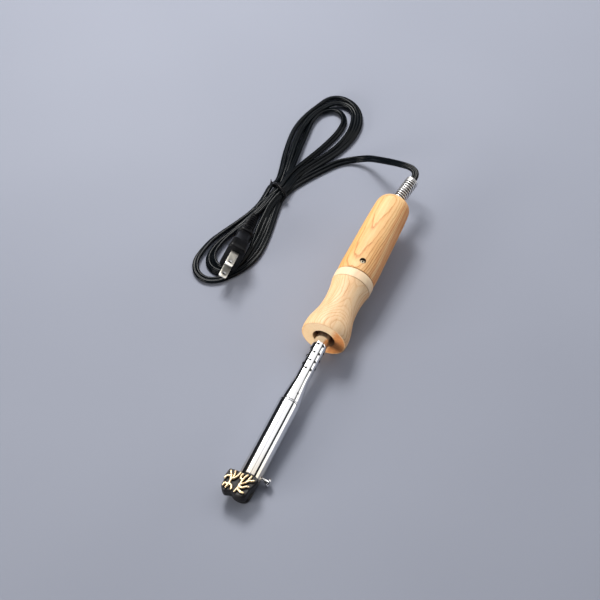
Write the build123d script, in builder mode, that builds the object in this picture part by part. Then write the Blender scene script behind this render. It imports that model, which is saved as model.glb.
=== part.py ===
# Electric branding iron of the soldering-iron pattern.
#
# Units are millimetres, +Z is up. The iron lies on a flat surface at z = 0, resting on
# the flared front of its wooden handle and on the lip of its heater barrel, so its axis
# rises from the barrel to the tail. The axis runs along +Y in plan: stamp at -Y, cord at +Y.
# The origin is on the surface, under the middle of the iron.
from build123d import *
import math
import os

os.makedirs("parts", exist_ok=True)

# ---------------------------------------------------------------- driving dimensions
BARREL_R = 8.0          # heater barrel, outside radius
BARREL_BORE = 7.2
BARREL_END = 65.7       # axial stations are measured from the barrel's front lip
CONE_END = 88.0
SHANK_R = 5.5           # perforated shank
SHANK_BORE = 4.7
SHANK_END = 170.0
VENT_R = 1.05
VENT_PITCH = 7.4
FACE = 128.0            # front face of the handle
FLARE_AT = 131.6
FLARE_R = 17.5
JOINT = 185.2           # joint between the two turned handle pieces
TAIL = 266.0            # rear end of the handle
TAIL_BORE = 5.75        # seat of the cord guard, with room for its lean
STUD_R = 4.95           # stud of the stamp, a sliding fit in the bush
BUSH_BORE = 5.05
CLAMP_AT = 5.0
CLAMP_ANGLE = 108.0     # direction of the clamp screw, from straight up towards +X
SCREW_AT = 194.0
SCREW_ANGLE = 12.0
WIRE_X = 1.9            # half spacing of the two inner leads
GUARD_R = 4.7           # mean radius of the spring cord guard
GUARD_WIRE = 0.575
GUARD_PITCH = 2.2
GUARD_START = 262.0
GUARD_PIVOT = 264.0
GUARD_LEAN = 8.0        # degrees the guard leans towards +X
GUARD_LENGTH = 29.0
CORD_W = 5.4            # flat twin cord, width and thickness
CORD_T = 2.7
DIE_TOP = 8.3           # stamp face body above the iron's axis
RELIEF_H = 1.4          # height of the raised stamp pattern
HANK_H = 11.0

# ---------------------------------------------------------------- frame of the iron
TILT = math.asin((FLARE_R - BARREL_R) / FLARE_AT)
SIN, COS = math.sin(TILT), math.cos(TILT)
O = Vector(0, -135.56, BARREL_R * COS + 0.06)
A = Vector(0, COS, SIN)
UPV = Vector(0, -SIN, COS)
AXIS = Axis(O, A)
LONG = Plane(origin=O, x_dir=(1, 0, 0), z_dir=UPV)  # local x: radius, local y: axial


def station(dist):
    """Cross-section plane at an axial station; its normal points to the tail."""
    return Plane(origin=O + A * dist, x_dir=(1, 0, 0), z_dir=A)


def radial(dist, angle, out=0.0):
    """Plane whose normal points radially out, angle measured from up towards +X."""
    a = math.radians(angle)
    n = UPV * math.cos(a) + Vector(1, 0, 0) * math.sin(a)
    return Plane(origin=O + A * dist + n * out, x_dir=A, z_dir=n)


def save(item, name):
    item.part.label = name
    export_step(item.part, "parts/" + name + ".step")


# ---------------------------------------------------------------- turned wooden handle
with BuildPart() as handle_front:
    with BuildSketch(LONG):
        with BuildLine():
            Polyline((8.3, 134), (8.3, FACE), (16.75, FACE))
            ThreePointArc((16.75, FACE), (17.1, 128.15), (17.3, 128.6))
            Spline((17.3, 128.6), (17.48, 130.2), (FLARE_R, FLARE_AT), (17.35, 135), (16.95, 138),
                   (16.3, 141), (15.15, 145.3), (13.95, 150.5), (13.35, 155.7), (13.15, 160.9),
                   (13.35, 166.2), (13.85, 171.4), (14.5, 175), (15.0, 177.3))
            Polyline((15.0, 177.3), (14.75, 177.6), (15.15, 177.9), (15.2, 181.5), (15.15, 184.9),
                     (14.75, JOINT), (10.6, JOINT), (10.6, 169.2), (5.7, 169.2), (5.7, 134), (8.3, 134))
        make_face()
    revolve(axis=AXIS)
save(handle_front, "handle_front")

with BuildPart() as handle_rear:
    with BuildSketch(LONG):
        with BuildLine():
            Polyline((14.45, JOINT + 0.05), (14.75, 185.7))
            Spline((14.75, 185.7), (14.95, 189), (15.1, 192.6), (15.1, 198), (14.95, 203.4), (14.82, 208.8),
                   (14.7, 214.3), (14.6, 219.8), (14.5, 225.3), (14.4, 230.8), (14.3, 236.4), (14.15, 241.9),
                   (13.95, 247.5), (13.7, 253.1), (13.4, 258.2))
            ThreePointArc((13.4, 258.2), (11.6, 263.6), (7.6, TAIL))
            Polyline((7.6, TAIL), (TAIL_BORE, TAIL), (TAIL_BORE, 260.0), (3.3, 260.0), (3.3, 226), (8.0, 226),
                     (8.0, 176.3), (10.45, 176.3), (10.45, JOINT + 0.05), (14.45, JOINT + 0.05))
        make_face()
    revolve(axis=AXIS)
    with BuildSketch(radial(SCREW_AT, SCREW_ANGLE, 11.6)):
        Circle(2.15)
    extrude(amount=6, mode=Mode.SUBTRACT)
    with BuildSketch(radial(SCREW_AT, SCREW_ANGLE, 7.0)):
        Circle(1.3)
    extrude(amount=6, mode=Mode.SUBTRACT)
save(handle_rear, "handle_rear")

with BuildPart() as handle_screw:
    with BuildSketch(radial(SCREW_AT, SCREW_ANGLE, 4.6)):
        Circle(1.2)
    extrude(amount=7.05)
    with BuildSketch(radial(SCREW_AT, SCREW_ANGLE, 11.65)):
        Circle(1.95)
    extrude(amount=1.6)
    with BuildSketch(radial(SCREW_AT, SCREW_ANGLE, 12.55)):
        Rectangle(5, 0.6)
    extrude(amount=1, mode=Mode.SUBTRACT)
save(handle_screw, "handle_screw")

# ---------------------------------------------------------------- perforated shank
with BuildPart() as vented_shank:
    with BuildSketch(LONG):
        with BuildLine():
            Polyline((7.1, 54), (7.1, 65.8), (7.95, 65.8), (8.05, 66.3), (8.0, 67.0), (7.75, 67.5),
                     (7.6, 68.2), (SHANK_R + 0.25, CONE_END - 2.2), (SHANK_R + 0.04, CONE_END - 0.6),
                     (SHANK_R, CONE_END + 0.4), (SHANK_R, 169.25), (8.9, 169.25), (8.9, SHANK_END),
                     (SHANK_BORE, SHANK_END), (SHANK_BORE, CONE_END), (6.7, 68.4), (6.3, 66.5),
                     (6.3, 54), (7.1, 54))
        make_face()
    revolve(axis=AXIS)
    for col in range(8):
        ang = -2.4 + 45 * col
        rows = [96.8 + VENT_PITCH * k for k in range(4)]
        if col in (2, 5, 7):
            rows = [96.8 + VENT_PITCH * (k + 0.5) for k in range(3)]
        for s in rows:
            with BuildSketch(radial(s, ang, 3.0)):
                Circle(VENT_R)
            extrude(amount=4, mode=Mode.SUBTRACT)
    # locating dimple on the cone
    with BuildSketch(radial(74.0, 35, 6.65)):
        Circle(0.9)
    extrude(amount=3, mode=Mode.SUBTRACT)
save(vented_shank, "vented_shank")

with BuildPart() as shank_spacer:
    with BuildSketch(LONG):
        with BuildLine():
            Polyline((4.9, SHANK_END + 0.05), (10.3, SHANK_END + 0.05), (10.3, 176.2), (4.9, 176.2),
                     (4.9, SHANK_END + 0.05))
        make_face()
    revolve(axis=AXIS)
save(shank_spacer, "shank_spacer")

# ---------------------------------------------------------------- heater barrel and element
with BuildPart() as heater_barrel:
    with BuildSketch(LONG):
        with BuildLine():
            Polyline((BARREL_BORE, 0.2), (BARREL_R - 0.35, 0), (BARREL_R, 0.35), (BARREL_R, BARREL_END - 0.3),
                     (BARREL_R - 0.2, BARREL_END), (BARREL_BORE, BARREL_END), (BARREL_BORE, 0.2))
        make_face()
    revolve(axis=AXIS)
    with BuildSketch(radial(CLAMP_AT, CLAMP_ANGLE, 5.0)):
        Circle(1.75)
    extrude(amount=6, mode=Mode.SUBTRACT)
save(heater_barrel, "heater_barrel")

with BuildPart() as stamp_bush:
    with BuildSketch(LONG):
        with BuildLine():
            Polyline((BUSH_BORE, 0.5), (7.15, 0.5), (7.15, 10.0), (BUSH_BORE, 10.0), (BUSH_BORE, 0.5))
        make_face()
    revolve(axis=AXIS)
    with BuildSketch(radial(CLAMP_AT, CLAMP_ANGLE, 3.5)):
        Circle(1.65)
    extrude(amount=6, mode=Mode.SUBTRACT)
save(stamp_bush, "stamp_bush")

with BuildPart() as core_tube:
    with BuildSketch(LONG):
        with BuildLine():
            Polyline((BUSH_BORE, 10.05), (5.4, 10.05), (5.4, 53), (0.01 + 3.0, 53), (3.01, 52.4), (BUSH_BORE, 52.4),
                     (BUSH_BORE, 10.05))
        make_face()
    revolve(axis=AXIS)
save(core_tube, "core_tube")

with BuildPart() as mica_inner:
    with BuildSketch(LONG):
        with BuildLine():
            Polyline((5.45, 11), (5.7, 11), (5.7, 52.5), (5.45, 52.5), (5.45, 11))
        make_face()
    revolve(axis=AXIS)
save(mica_inner, "mica_inner")

# close-wound resistance wire on the mica, one closed body with a turned thread-like outside
turns = 34
with BuildPart() as heating_winding:
    with BuildSketch(LONG):
        with BuildLine():
            pts = [(5.75, 13.0)]
            for k in range(turns):
                pts += [(6.05, 13.0 + k * 1.1 + 0.1), (6.4, 13.0 + k * 1.1 + 0.4), (6.4, 13.0 + k * 1.1 + 0.7),
                        (6.05, 13.0 + k * 1.1 + 1.0)]
            pts += [(5.75, 13.0 + turns * 1.1), (5.75, 13.0)]
            Polyline(*pts)
        make_face()
    revolve(axis=AXIS)
save(heating_winding, "heating_winding")

with BuildPart() as mica_outer:
    with BuildSketch(LONG):
        with BuildLine():
            Polyline((6.5, 11), (6.95, 11), (6.95, 53), (6.5, 53), (6.5, 11))
        make_face()
    revolve(axis=AXIS)
save(mica_outer, "mica_outer")

with BuildPart() as element_leads:
    with BuildSketch(station(54)):
        with Locations((WIRE_X, 0), (-WIRE_X, 0)):
            Circle(0.45)
    extrude(amount=146)
save(element_leads, "element_leads")

with BuildPart() as lead_beads:
    for k in range(11):
        with BuildSketch(station(58 + 10.2 * k)):
            with Locations((WIRE_X, 0), (-WIRE_X, 0)):
                Circle(1.5)
                Circle(0.6, mode=Mode.SUBTRACT)
        extrude(amount=9.6)
save(lead_beads, "lead_beads")

# ---------------------------------------------------------------- terminals inside the rear handle
with BuildPart() as terminal_block:
    with BuildSketch(station(188)):
        Circle(7.8)
        with Locations((WIRE_X, 0), (-WIRE_X, 0)):
            Circle(1.55, mode=Mode.SUBTRACT)
    extrude(amount=20)
    with BuildSketch(radial(SCREW_AT, SCREW_ANGLE, 4.3)):
        Circle(1.3)
    extrude(amount=4, mode=Mode.SUBTRACT)
    for s in (196.5, 203.5):
        for x in (-WIRE_X, WIRE_X):
            with BuildSketch(Plane(origin=O + A * s + Vector(x, 0, 0) - UPV * 1.0, x_dir=A, z_dir=-UPV)):
                Circle(0.85)
            extrude(amount=8, mode=Mode.SUBTRACT)
save(terminal_block, "terminal_block")

with BuildPart() as terminal_sleeves:
    with BuildSketch(station(193)):
        with Locations((WIRE_X, 0), (-WIRE_X, 0)):
            Circle(1.5)
            Circle(0.75, mode=Mode.SUBTRACT)
    extrude(amount=14)
    for s in (196.5, 203.5):
        for x in (-WIRE_X, WIRE_X):
            with BuildSketch(Plane(origin=O + A * s + Vector(x, 0, 0) - UPV * 0.3, x_dir=A, z_dir=-UPV)):
                Circle(0.85)
            extrude(amount=3, mode=Mode.SUBTRACT)
save(terminal_sleeves, "terminal_sleeves")

with BuildPart() as terminal_screws:
    for s in (196.5, 203.5):
        for x in (-WIRE_X, WIRE_X):
            with BuildSketch(Plane(origin=O + A * s + Vector(x, 0, 0) - UPV * 0.55, x_dir=A, z_dir=-UPV)):
                Circle(0.8)
            extrude(amount=4.5)
save(terminal_screws, "terminal_screws")

with BuildPart() as cord_conductors:
    for x in (-1, 1):
        with BuildLine() as conductor_path:
            FilletPolyline(O + A * 201 + Vector(x * WIRE_X, 0, 0), O + A * 209 + Vector(x * WIRE_X, 0, 0),
                           O + A * 212.5 + Vector(x * 1.35, 0, 0), O + A * 216 + Vector(x * 1.35, 0, 0), radius=3)
        with BuildSketch(Plane(origin=conductor_path.line @ 0, z_dir=A)):
            Circle(0.42)
        sweep(path=conductor_path.line)
save(cord_conductors, "cord_conductors")

with BuildPart() as cord_crimp:
    with BuildSketch(station(218.5)):
        RectangleRounded(8.6, 5.6, 1.4)
        RectangleRounded(5.6, 2.9, 1.2, mode=Mode.SUBTRACT)
    extrude(amount=7)
save(cord_crimp, "cord_crimp")

# ---------------------------------------------------------------- cord inside the handle and guard
lean = math.radians(GUARD_LEAN)
PIVOT = O + A * GUARD_PIVOT
G = A * math.cos(lean) + Vector(1, 0, 0) * math.sin(lean)
EXIT = PIVOT + G * (GUARD_START + GUARD_LENGTH - GUARD_PIVOT)

with BuildPart() as cord_inner:
    with BuildLine() as inner_path:
        FilletPolyline(O + A * 216, PIVOT, EXIT, radius=60)
    with BuildSketch(station(216)):
        with Locations((-CORD_W / 4, 0), (CORD_W / 4, 0)):
            Circle(CORD_T / 2)
        Rectangle(CORD_T, CORD_T * 0.8)
    sweep(path=inner_path.line)
    with BuildSketch(station(216)):
        with Locations((-1.35, 0), (1.35, 0)):
            Circle(0.44)
    extrude(amount=0.5, mode=Mode.SUBTRACT)
save(cord_inner, "cord_inner")

with BuildPart() as guard_washer:
    with BuildSketch(station(260.05)):
        Circle(5.1)
        Circle(3.2, mode=Mode.SUBTRACT)
    extrude(amount=0.8)
save(guard_washer, "guard_washer")

GUARD_FOOT = PIVOT - G * (GUARD_PIVOT - GUARD_START - GUARD_WIRE)
with BuildPart() as guard_spring:
    with BuildLine() as coil:
        Helix(pitch=GUARD_PITCH, height=GUARD_LENGTH - 2 * GUARD_WIRE, radius=GUARD_R,
              center=tuple(GUARD_FOOT), direction=tuple(G))
    with BuildSketch(Plane(origin=coil.line @ 0, z_dir=coil.line % 0)):
        Circle(GUARD_WIRE)
    sweep(path=coil.line, is_frenet=True)
save(guard_spring, "guard_spring")

# ---------------------------------------------------------------- stamp
with BuildPart() as stamp_stud:
    with BuildSketch(LONG):
        with BuildLine():
            Polyline((0, -15.0), (2.6, -15.0), (3.0, -14.6), (3.0, -4.6), (STUD_R, -4.6), (STUD_R, 43.4),
                     (4.35, 44), (0, 44), (0, -15.0))
        make_face()
    revolve(axis=AXIS)
save(stamp_stud, "stamp_stud")

# plan outline of the stamp, x across and y along the axis (negative: in front of the lip)
DIE_OUTLINE = [(-12.4, -0.7), (-5.0, -0.5), (3.0, -0.5), (7.6, -0.9), (8.4, -2.6), (7.7, -6.4), (6.3, -10.6),
               (5.9, -14.6), (4.9, -17.3), (2.2, -18.6), (-1.6, -18.2), (-4.6, -16.9), (-7.4, -17.2),
               (-10.4, -17.9), (-12.6, -15.8), (-13.2, -11.4), (-13.9, -6.6), (-13.6, -2.6)]
DIE_PLANE = Plane(origin=O + UPV * DIE_TOP, x_dir=(1, 0, 0), z_dir=UPV)
with BuildPart() as stamp_block:
    with BuildSketch(DIE_PLANE.offset(-9.3)):
        with BuildLine():
            Spline(*DIE_OUTLINE, periodic=True)
        make_face()
    extrude(amount=9.3)
    # sloping underside: the block narrows towards the bottom round the stud
    with BuildSketch(Plane(origin=O + A * (-1.2), x_dir=(1, 0, 0), z_dir=-A)):
        RectangleRounded(14.0, 13.0, 4.0)
    extrude(amount=14.6)
    with BuildSketch(station(-16)):
        Circle(3.05)
    extrude(amount=20, mode=Mode.SUBTRACT)
    with BuildSketch(station(-4.65)):
        Circle(5.0)
    extrude(amount=6, mode=Mode.SUBTRACT)
save(stamp_block, "stamp_block")

# raised pattern: branching veins, each a stroke of constant width
VEINS = [
    [(-11.2, -3.0), (-9.6, -6.2), (-8.6, -9.6), (-8.4, -13.0), (-9.2, -16.0)],
    [(-8.9, -9.0), (-6.4, -7.2), (-5.0, -4.2), (-4.6, -2.0)],
    [(-9.6, -6.4), (-12.2, -7.8), (-12.7, -9.6)],
    [(-8.5, -12.2), (-6.2, -13.6), (-5.2, -15.6)],
    [(-8.4, -13.2), (-11.0, -13.4), (-11.6, -15.0)],
    [(-7.6, -8.2), (-7.6, -5.0), (-8.4, -2.2)],
    [(-2.4, -17.0), (-1.4, -13.4), (-1.2, -9.4), (-0.6, -5.4), (0.8, -2.0)],
    [(-1.3, -10.6), (1.2, -8.6), (3.6, -5.8), (6.6, -4.6)],
    [(2.0, -7.8), (3.2, -4.4), (3.6, -1.8)],
    [(-1.3, -12.0), (1.4, -12.2), (3.6, -10.6), (5.2, -10.2)],
    [(-1.6, -14.2), (1.4, -15.6), (3.6, -15.8)],
    [(-0.9, -7.0), (-3.0, -5.4), (-2.6, -2.4)],
]
with BuildPart() as stamp_relief:
    with BuildSketch(DIE_PLANE):
        for vein in VEINS:
            with BuildLine():
                Polyline(*vein)
            trace(line_width=0.95)
    extrude(amount=RELIEF_H)
save(stamp_relief, "stamp_relief")

with BuildPart() as clamp_screw:
    with BuildSketch(radial(CLAMP_AT, CLAMP_ANGLE, STUD_R + 0.06)):
        Circle(1.55)
    extrude(amount=7.3)
    with BuildSketch(radial(CLAMP_AT, CLAMP_ANGLE, STUD_R + 7.3)):
        Circle(3.4)
    extrude(amount=2.1)
    fillet(clamp_screw.faces().sort_by(Axis(O, radial(CLAMP_AT, CLAMP_ANGLE).z_dir))[-1].edges(), 0.8)
    with BuildSketch(radial(CLAMP_AT, CLAMP_ANGLE, STUD_R + 8.5).rotated((0, 0, 35))):
        Rectangle(8, 0.8)
    extrude(amount=2, mode=Mode.SUBTRACT)
save(clamp_screw, "clamp_screw")

# ---------------------------------------------------------------- free cord
R_CORD = CORD_W / 2
LEAD = [tuple(EXIT), (4.5, 159.9, 29.9), (1.6, 164.5, 30.4), (-3.7, 166.8, 30.1), (-11.9, 168.3, 28.3), (-21.9, 171.4, 24.0),
        (-31.8, 175.9, 17.8), (-42.4, 182.1, 9.6), (-51.0, 182.3, 5.2), (-59.2, 179.5, 2.9), (-66.4, 173.5, 2.7)]
radii = []
for i in range(1, len(LEAD) - 1):
    p, q, r = Vector(*LEAD[i - 1]), Vector(*LEAD[i]), Vector(*LEAD[i + 1])
    turn = math.radians((q - p).get_angle(r - q))
    radii.append(0.45 * min((q - p).length, (r - q).length) / math.tan(turn / 2))
print("cord_lead radii", [round(v, 1) for v in radii])
print("cord_lead runs", [round((Vector(*LEAD[i + 1]) - Vector(*LEAD[i])).length, 1) for i in range(len(LEAD) - 1)])
with BuildPart() as cord_lead:
    with BuildLine() as lead_path:
        FilletPolyline(*LEAD, radius=radii)
    with BuildSketch(Plane(origin=lead_path.line @ 0, z_dir=lead_path.line % 0)):
        Circle(R_CORD)
    sweep(path=lead_path.line)
lead_length = sum(e.length for e in lead_path.edges())
print("cord_lead length", round(lead_length, 1), "volume", round(cord_lead.part.volume, 1),
      "section x length", round(math.pi * R_CORD ** 2 * lead_length, 1))
save(cord_lead, "cord_lead")

# plug: standing on its narrow side inside the lower loops of the hank
PL = Vector(0.13014, -0.97107, 0.20022)
PW = Vector(0.93724, 0.0546, -0.34438)
F = Vector(-93.8, 36.2, 16.5)      # centre of the plug's front face
PLUG = Plane(origin=F, x_dir=PW, z_dir=PL)   # local y runs from blade to blade

with BuildPart() as plug_body:
    with BuildSketch(PLUG.offset(-11)):
        RectangleRounded(14, 24, 3)
    extrude(amount=11)
    with BuildSketch(PLUG.offset(-11)):
        RectangleRounded(14, 24, 3)
    with BuildSketch(PLUG.offset(-28.5)):
        RectangleRounded(10.4, 12.6, 3)
    loft()
    with BuildSketch(PLUG.offset(-31.5)):
        RectangleRounded(12.4, 15.0, 4)
    extrude(amount=3.2)
    with BuildSketch(PLUG.offset(-2.2)):
        with Locations((0, 6.35), (0, -6.35)):
            Rectangle(6.45, 1.6)
    extrude(amount=3, mode=Mode.SUBTRACT)
save(plug_body, "plug_body")

with BuildPart() as plug_blades:
    with BuildSketch(PLUG.offset(-2.1)):
        with Locations((0, 6.35), (0, -6.35)):
            Rectangle(6.35, 1.5)
    extrude(amount=19.1)
    with BuildSketch(Plane(origin=F + PL * 13.6 - PLUG.y_dir * 12, x_dir=PW, z_dir=PLUG.y_dir)):
        Circle(1.5)
    extrude(amount=24, mode=Mode.SUBTRACT)
    chamfer(plug_blades.faces().filter_by(lambda f: abs(f.normal_at().dot(PL)) > 0.99).sort_by(Axis(F, PL))[-2:].edges().filter_by(lambda e: abs((e % 0.5).dot(PLUG.y_dir)) > 0.99), 1.0)
save(plug_blades, "plug_blades")

with BuildPart() as plug_relief:
    PR = Vector(*PL)
    with BuildSketch(PLUG.offset(-31.55)):
        Circle(5.6)
    with BuildSketch(PLUG.offset(-57)):
        Circle(3.5)
    loft()
    for k in range(8):
        rr = 5.5 - 0.22 * k
        with BuildSketch(PLUG.offset(-34.6 - 2.9 * k)):
            Circle(rr + 0.7)
            Circle(rr - 0.75, mode=Mode.SUBTRACT)
        extrude(amount=1.4, mode=Mode.SUBTRACT)
save(plug_relief, "plug_relief")

# hank: outer shape of the tied loops, open inside both loops
HANK_OUT = [(-87.0, 119.9), (-86.0, 126.9), (-84.6, 140.0), (-79.5, 151.5), (-72.5, 163.4), (-66.6, 176.9),
            (-62.4, 189.8), (-60.4, 201.9), (-60.2, 212.0), (-62.2, 221.5), (-67.2, 231.1), (-75.0, 238.9),
            (-84.5, 243.7), (-92.6, 245.3), (-99.6, 244.5), (-105.6, 239.3), (-109.6, 229.9), (-112.8, 221.3),
            (-116.4, 211.7), (-117.6, 201.9), (-117.9, 191.5), (-116.0, 179.3), (-113.2, 167.9), (-110.4, 156.9),
            (-107.4, 145.9), (-104.8, 134.9), (-106.6, 126.9), (-107.0, 118.9), (-107.4, 106.9), (-111.6, 95.9),
            (-115.0, 85.9), (-118.8, 75.9), (-123.2, 66.5), (-126.6, 55.9), (-128.2, 45.9), (-128.4, 35.5),
            (-126.4, 26.3), (-121.6, 18.7), (-114.2, 14.1), (-105.4, 13.3), (-97.2, 15.9), (-91.0, 21.5),
            (-84.2, 31.9), (-79.4, 43.9), (-77.2, 57.9), (-78.0, 71.4), (-80.2, 85.3), (-83.4, 102.2)]
HANK_UP = [(-93.4, 150.9), (-90.8, 158.9), (-87.6, 168.9), (-84.4, 179.9), (-81.6, 190.9), (-80.2, 201.9),
           (-80.6, 211.9), (-83.0, 219.5), (-88.0, 224.1), (-93.6, 223.3), (-97.0, 215.9), (-98.6, 204.9),
           (-98.2, 191.9), (-96.6, 178.9), (-95.0, 164.9)]
HANK_LOW = [(-97.0, 106.9), (-92.0, 98.9), (-89.0, 86.9), (-87.4, 72.9), (-87.0, 58.9), (-89.6, 46.9),
            (-93.6, 36.9), (-99.0, 30.3), (-105.6, 29.3), (-110.4, 34.9), (-113.0, 44.9), (-112.8, 54.9),
            (-110.0, 66.9), (-106.6, 78.9), (-102.6, 92.9)]
with BuildPart() as cord_hank:
    with BuildSketch(Plane.XY.offset(0.15)):
        with BuildLine():
            Spline(*HANK_OUT, periodic=True)
        make_face()
        with BuildLine():
            Spline(*HANK_UP, periodic=True)
        make_face(mode=Mode.SUBTRACT)
        with BuildLine():
            Spline(*HANK_LOW, periodic=True)
        make_face(mode=Mode.SUBTRACT)
    extrude(amount=HANK_H)
    # room for the plug and its strain relief
    with BuildSketch(PLUG.offset(-60)):
        RectangleRounded(16, 26, 3)
    extrude(amount=60.5, mode=Mode.SUBTRACT)
    with BuildSketch(PLUG):
        RectangleRounded(8.4, 17, 1)
    extrude(amount=18, mode=Mode.SUBTRACT)
save(cord_hank, "cord_hank")

# twist tie round the waist of the hank
with BuildPart() as cord_tie:
    with BuildSketch(Plane(origin=(-94.0, 124.1, 6.45), x_dir=(0.866, -0.5, 0), z_dir=(0.5, 0.866, 0)).offset(-0.9)):
        RectangleRounded(18.0, 12.8, 4.6)
        RectangleRounded(16.6, 11.4, 4.0, mode=Mode.SUBTRACT)
    extrude(amount=1.8)
save(cord_tie, "cord_tie")
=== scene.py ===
import bpy, bmesh, math
import random
from mathutils import Vector, Matrix, noise


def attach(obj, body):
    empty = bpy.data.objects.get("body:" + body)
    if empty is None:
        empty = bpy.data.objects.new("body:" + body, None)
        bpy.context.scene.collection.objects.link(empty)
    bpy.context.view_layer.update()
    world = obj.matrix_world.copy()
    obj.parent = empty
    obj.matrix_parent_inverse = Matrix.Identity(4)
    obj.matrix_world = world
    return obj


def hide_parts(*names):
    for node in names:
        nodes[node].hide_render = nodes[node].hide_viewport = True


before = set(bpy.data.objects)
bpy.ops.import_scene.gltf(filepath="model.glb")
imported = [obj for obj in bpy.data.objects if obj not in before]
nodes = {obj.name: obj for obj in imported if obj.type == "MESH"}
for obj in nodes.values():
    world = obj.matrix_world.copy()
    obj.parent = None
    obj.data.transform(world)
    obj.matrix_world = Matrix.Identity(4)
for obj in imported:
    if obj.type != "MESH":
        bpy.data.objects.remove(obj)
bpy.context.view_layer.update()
MM = 0.001

# ------------------------------------------------------------------ frame of the iron, as in the CAD
BARREL_R, FLARE_R, FLARE_AT = 8.0, 17.5, 131.6
TILT = math.asin((FLARE_R - BARREL_R) / FLARE_AT)
SN, CS = math.sin(TILT), math.cos(TILT)
O = Vector((0.0, -135.56, BARREL_R * CS + 0.06))
A = Vector((0.0, CS, SN))
UPV = Vector((0.0, -SN, CS))
XV = Vector((1.0, 0.0, 0.0))
# local x: across, local y: along the axis, local z: up from the axis (all mm)
AXM = Matrix(((1, 0, 0, O.x), (0, CS, -SN, O.y), (0, SN, CS, O.z), (0, 0, 0, 1)))


def ax(x, l, h):
    return O + XV * x + A * l + UPV * h


def ob_from(name, verts, faces, smooth=True, mm=True, mats=()):
    me = bpy.data.meshes.new(name)
    s = MM if mm else 1.0
    me.from_pydata([(v[0] * s, v[1] * s, v[2] * s) for v in verts], [], faces)
    me.validate()
    me.update()
    o = bpy.data.objects.new(name, me)
    bpy.context.scene.collection.objects.link(o)
    for p in me.polygons:
        p.use_smooth = smooth
    for m in mats:
        me.materials.append(m)
    return o


def sharp_by_angle(o, deg=35):
    me = o.data
    bm = bmesh.new()
    bm.from_mesh(me)
    bmesh.ops.recalc_face_normals(bm, faces=bm.faces)
    lim = math.radians(deg)
    for e in bm.edges:
        if len(e.link_faces) == 2:
            e.smooth = e.calc_face_angle(0.0) < lim
        else:
            e.smooth = False
    bm.to_mesh(me)
    bm.free()
    me.update()


def apply_mods(o):
    dg = bpy.context.evaluated_depsgraph_get()
    ev = o.evaluated_get(dg)
    me = bpy.data.meshes.new_from_object(ev)
    old = o.data
    o.modifiers.clear()
    o.data = me
    bpy.data.meshes.remove(old)


def catmull(pts, n=8):
    out = []
    P = [Vector(p) for p in pts]
    for i in range(len(P) - 1):
        p0 = P[i - 1] if i > 0 else P[0] * 2 - P[1]
        p1, p2 = P[i], P[i + 1]
        p3 = P[i + 2] if i + 2 < len(P) else P[-1] * 2 - P[-2]
        for k in range(n):
            t = k / n
            out.append(0.5 * ((2 * p1) + (-p0 + p2) * t + (2 * p0 - 5 * p1 + 4 * p2 - p3) * t * t
                              + (-p0 + 3 * p1 - 3 * p2 + p3) * t * t * t))
    out.append(P[-1].copy())
    return out


def catmull_closed(pts, n=8):
    out = []
    P = [Vector(p) for p in pts]
    m = len(P)
    for i in range(m):
        p0, p1, p2, p3 = P[i - 1], P[i], P[(i + 1) % m], P[(i + 2) % m]
        for k in range(n):
            t = k / n
            out.append(0.5 * ((2 * p1) + (-p0 + p2) * t + (2 * p0 - 5 * p1 + 4 * p2 - p3) * t * t
                              + (-p0 + 3 * p1 - 3 * p2 + p3) * t * t * t))
    return out


def lathe(name, profile, seg=128, closed=True, mats=(), mat=None, matrix=None):
    """profile: (radius, axial) points; closed joins last to first. Local axis is the iron's unless matrix given."""
    verts, faces = [], []
    M = matrix or AXM
    n = len(profile)
    ring = []
    for r, l in profile:
        if r < 1e-6:
            verts.append(M @ Vector((0, l, 0)))
            ring.append([len(verts) - 1] * seg)
        else:
            idx = []
            for k in range(seg):
                a = 2 * math.pi * k / seg
                verts.append(M @ Vector((r * math.sin(a), l, r * math.cos(a))))
                idx.append(len(verts) - 1)
            ring.append(idx)
    rng = range(n) if closed else range(n - 1)
    for i in rng:
        j = (i + 1) % n
        for k in range(seg):
            k2 = (k + 1) % seg
            f = [ring[i][k], ring[i][k2], ring[j][k2], ring[j][k]]
            g = []
            for v in f:
                if v not in g:
                    g.append(v)
            if len(g) > 2:
                faces.append(g)
    o = ob_from(name, verts, faces, mats=mats)
    return o


def rounded(profile, radii, n=4):
    """Closed (r,l) polygon with each corner rounded by its radius."""
    out = []
    m = len(profile)
    for i in range(m):
        p = Vector(profile[i]); a = Vector(profile[i - 1]); b = Vector(profile[(i + 1) % m])
        r = radii[i] if isinstance(radii, (list, tuple)) else radii
        if r <= 0:
            out.append(tuple(p)); continue
        da, db = (a - p), (b - p)
        r = min(r, 0.45 * da.length, 0.45 * db.length)
        s, e = p + da.normalized() * r, p + db.normalized() * r
        for k in range(n + 1):
            t = k / n
            out.append(tuple(s * (1 - t) ** 2 + p * 2 * t * (1 - t) + e * t * t))
    return out

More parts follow.
